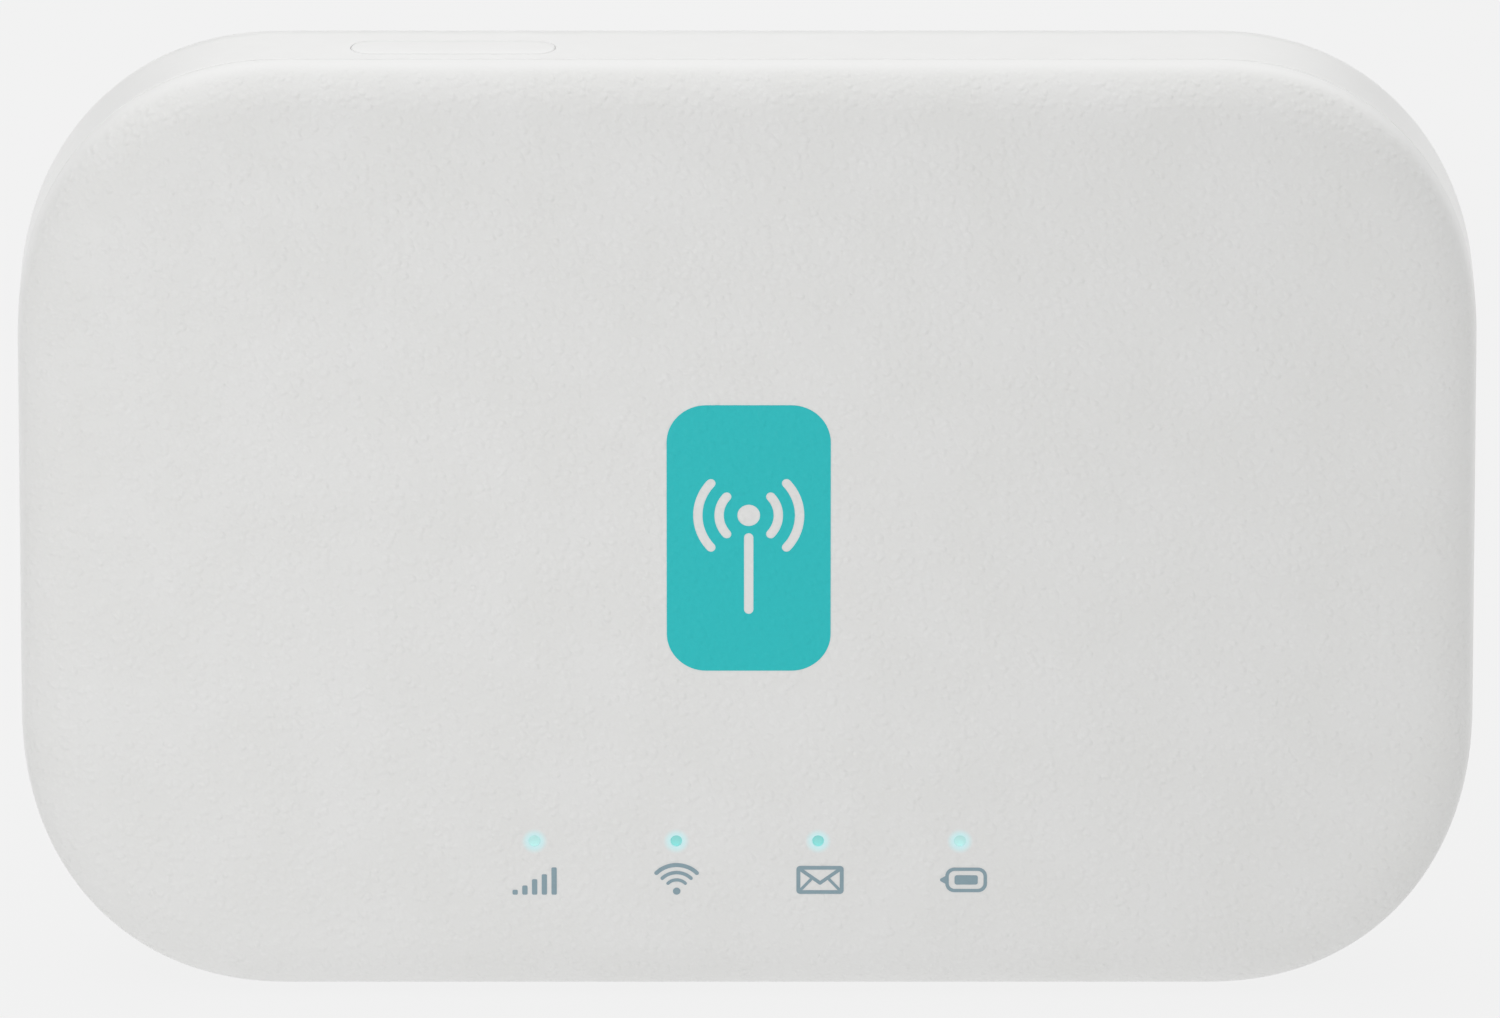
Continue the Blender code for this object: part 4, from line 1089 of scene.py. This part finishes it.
def battery_icon():
    x, half_u, half_v, line = LIGHT_X[3] + 0.42, 1.38, 0.875, 0.23
    panel = moved(round_box(half_u, half_v, 0.6), x, ICON_Z)
    opening = moved(round_box(half_u - line, half_v - line, 0.4), x, ICON_Z)
    charge = moved(round_box(0.77, 0.33, 0.16), x, ICON_Z)
    outline = printed("battery_icon", [panel, opening, charge], ICON_INK)
    tip = x - half_u
    nose = [(tip + 0.25, ICON_Z + 0.42), (tip - 0.34, ICON_Z + 0.07), (tip - 0.34, ICON_Z - 0.07)]
    nose += [(tip + 0.25, ICON_Z - 0.42), (tip + 0.12, ICON_Z)]
    join(outline, printed("nose", [nose], ICON_INK))
    settle_print(reshade(outline))


# ---- Floor, light and camera ----
BACKGROUND, FLOOR_GLOW, FLOOR_BOUNCE, FLOOR_SELF_LIT = 0.887, 0.888, 0.955, 0.93
SKY_OVERHEAD, SKY_RIGHT = 1.53, 0.05
VIEW_TILT = 20.0
VIEW_DISTANCE = 1600.0
VIEW_WIDTH = 99.17
VIEW_CENTRE = (0.185, -0.238)


def studio_floor():
    """A plain pale floor that is mostly self-lit, so that the shadow on it stays faint.

    Its light reaches the object a little brighter than the camera sees it.
    """
    made, tree, where = start("studio_floor")
    tone = blend(tree, noise(tree, where, 400.0), rgb(0.80, 0.80, 0.80), rgb(0.82, 0.82, 0.82))
    finished(made, {"Base Color": tone, "Roughness": 0.9, "Specular IOR Level": 0.0})
    seen = node(tree, "LightPath").outputs["Is Camera Ray"]
    level = node(tree, "MapRange", {"Value": seen, "To Min": FLOOR_BOUNCE, "To Max": FLOOR_GLOW})
    glow = node(tree, "Emission", {"Color": rgb(1, 1, 1), "Strength": level.outputs["Result"]})
    add_glow(made, FLOOR_SELF_LIT, glow)
    bm = bmesh.new()
    bmesh.ops.create_grid(bm, x_segments=1, y_segments=1, size=8000.0)
    bmesh.ops.translate(bm, verts=bm.verts, vec=(0, 0, -0.05))
    floor = make_object("studio_floor", bm, made)


def studio_world():
    """Soft light that is strongest overhead and weak from the sides. The camera sees one plain tone."""
    world = bpy.data.worlds.new("studio")
    bpy.context.scene.world = world
    world.use_nodes = True
    tree = world.node_tree
    tree.nodes.clear()
    axes = split(tree, node(tree, "TexCoord").outputs["Generated"])
    overhead = maths(tree, "MULTIPLY", maths(tree, "MAXIMUM", axes["Z"]), SKY_OVERHEAD)
    right = maths(tree, "MULTIPLY", maths(tree, "MAXIMUM", axes["X"]), SKY_RIGHT)
    level = maths(tree, "ADD", overhead, right)
    sky = node(tree, "Background", {"Color": rgb(1, 1, 1), "Strength": level})
    plain = node(tree, "Background", {"Color": rgb(1, 1, 1), "Strength": BACKGROUND})
    seen = node(tree, "LightPath").outputs["Is Camera Ray"]
    mix = node(tree, "MixShader", {0: seen, 1: sky.outputs[0], 2: plain.outputs[0]})
    output = node(tree, "OutputWorld")
    tree.links.new(mix.outputs[0], output.inputs["Surface"])


def area_light(name, place, aim, size, power):
    data = bpy.data.lights.new(name, "AREA")
    data.shape = "RECTANGLE"
    data.size, data.size_y = size[0] * MM, size[1] * MM
    data.energy = power
    light = add_object(name, data)
    light.location = Vector(place) * MM
    light.rotation_euler = (Vector(aim) - Vector(place)).to_track_quat("-Z", "Y").to_euler()
    light.visible_camera = False


def lights():
    aim = (0, 0, MID_Z)
    area_light("low_fill", (-60, -150, 25), aim, (80, 40), 0.0351)
    area_light("low_left", (-260, -240, 40), aim, (160, 60), 0.0387)
    area_light("top_left", (-200, 0, 330), aim, (200, 200), 0.0717)
    area_light("back_strip", (0, 420, 360), aim, (500, 90), 0.0547)


def camera():
    """A long lens at the height that shows the top band, 20 degrees above level."""
    tilt = math.radians(VIEW_TILT)
    back = Vector((0, -math.cos(tilt), math.sin(tilt)))
    up = Vector((0, math.sin(tilt), math.cos(tilt)))
    aim = Vector((VIEW_CENTRE[0], 0, MID_Z)) + up * VIEW_CENTRE[1]
    data = bpy.data.cameras.new("camera")
    data.sensor_width = 36.0
    data.lens = data.sensor_width * VIEW_DISTANCE / VIEW_WIDTH
    made = add_object("camera", data)
    made.location = (aim + back * VIEW_DISTANCE) * MM
    made.rotation_euler = (-back).to_track_quat("-Z", "Y").to_euler()
    bpy.context.scene.camera = made


dress_cad_nodes()
front_cover()
chassis()
back_cover()
side_keys()
battery()
screws()
usb_socket()
badge()
signal_icon()
wifi_icon()
message_icon()
battery_icon()
studio_floor()
studio_world()
lights()
camera()
bpy.context.scene.view_settings.view_transform = "Standard"
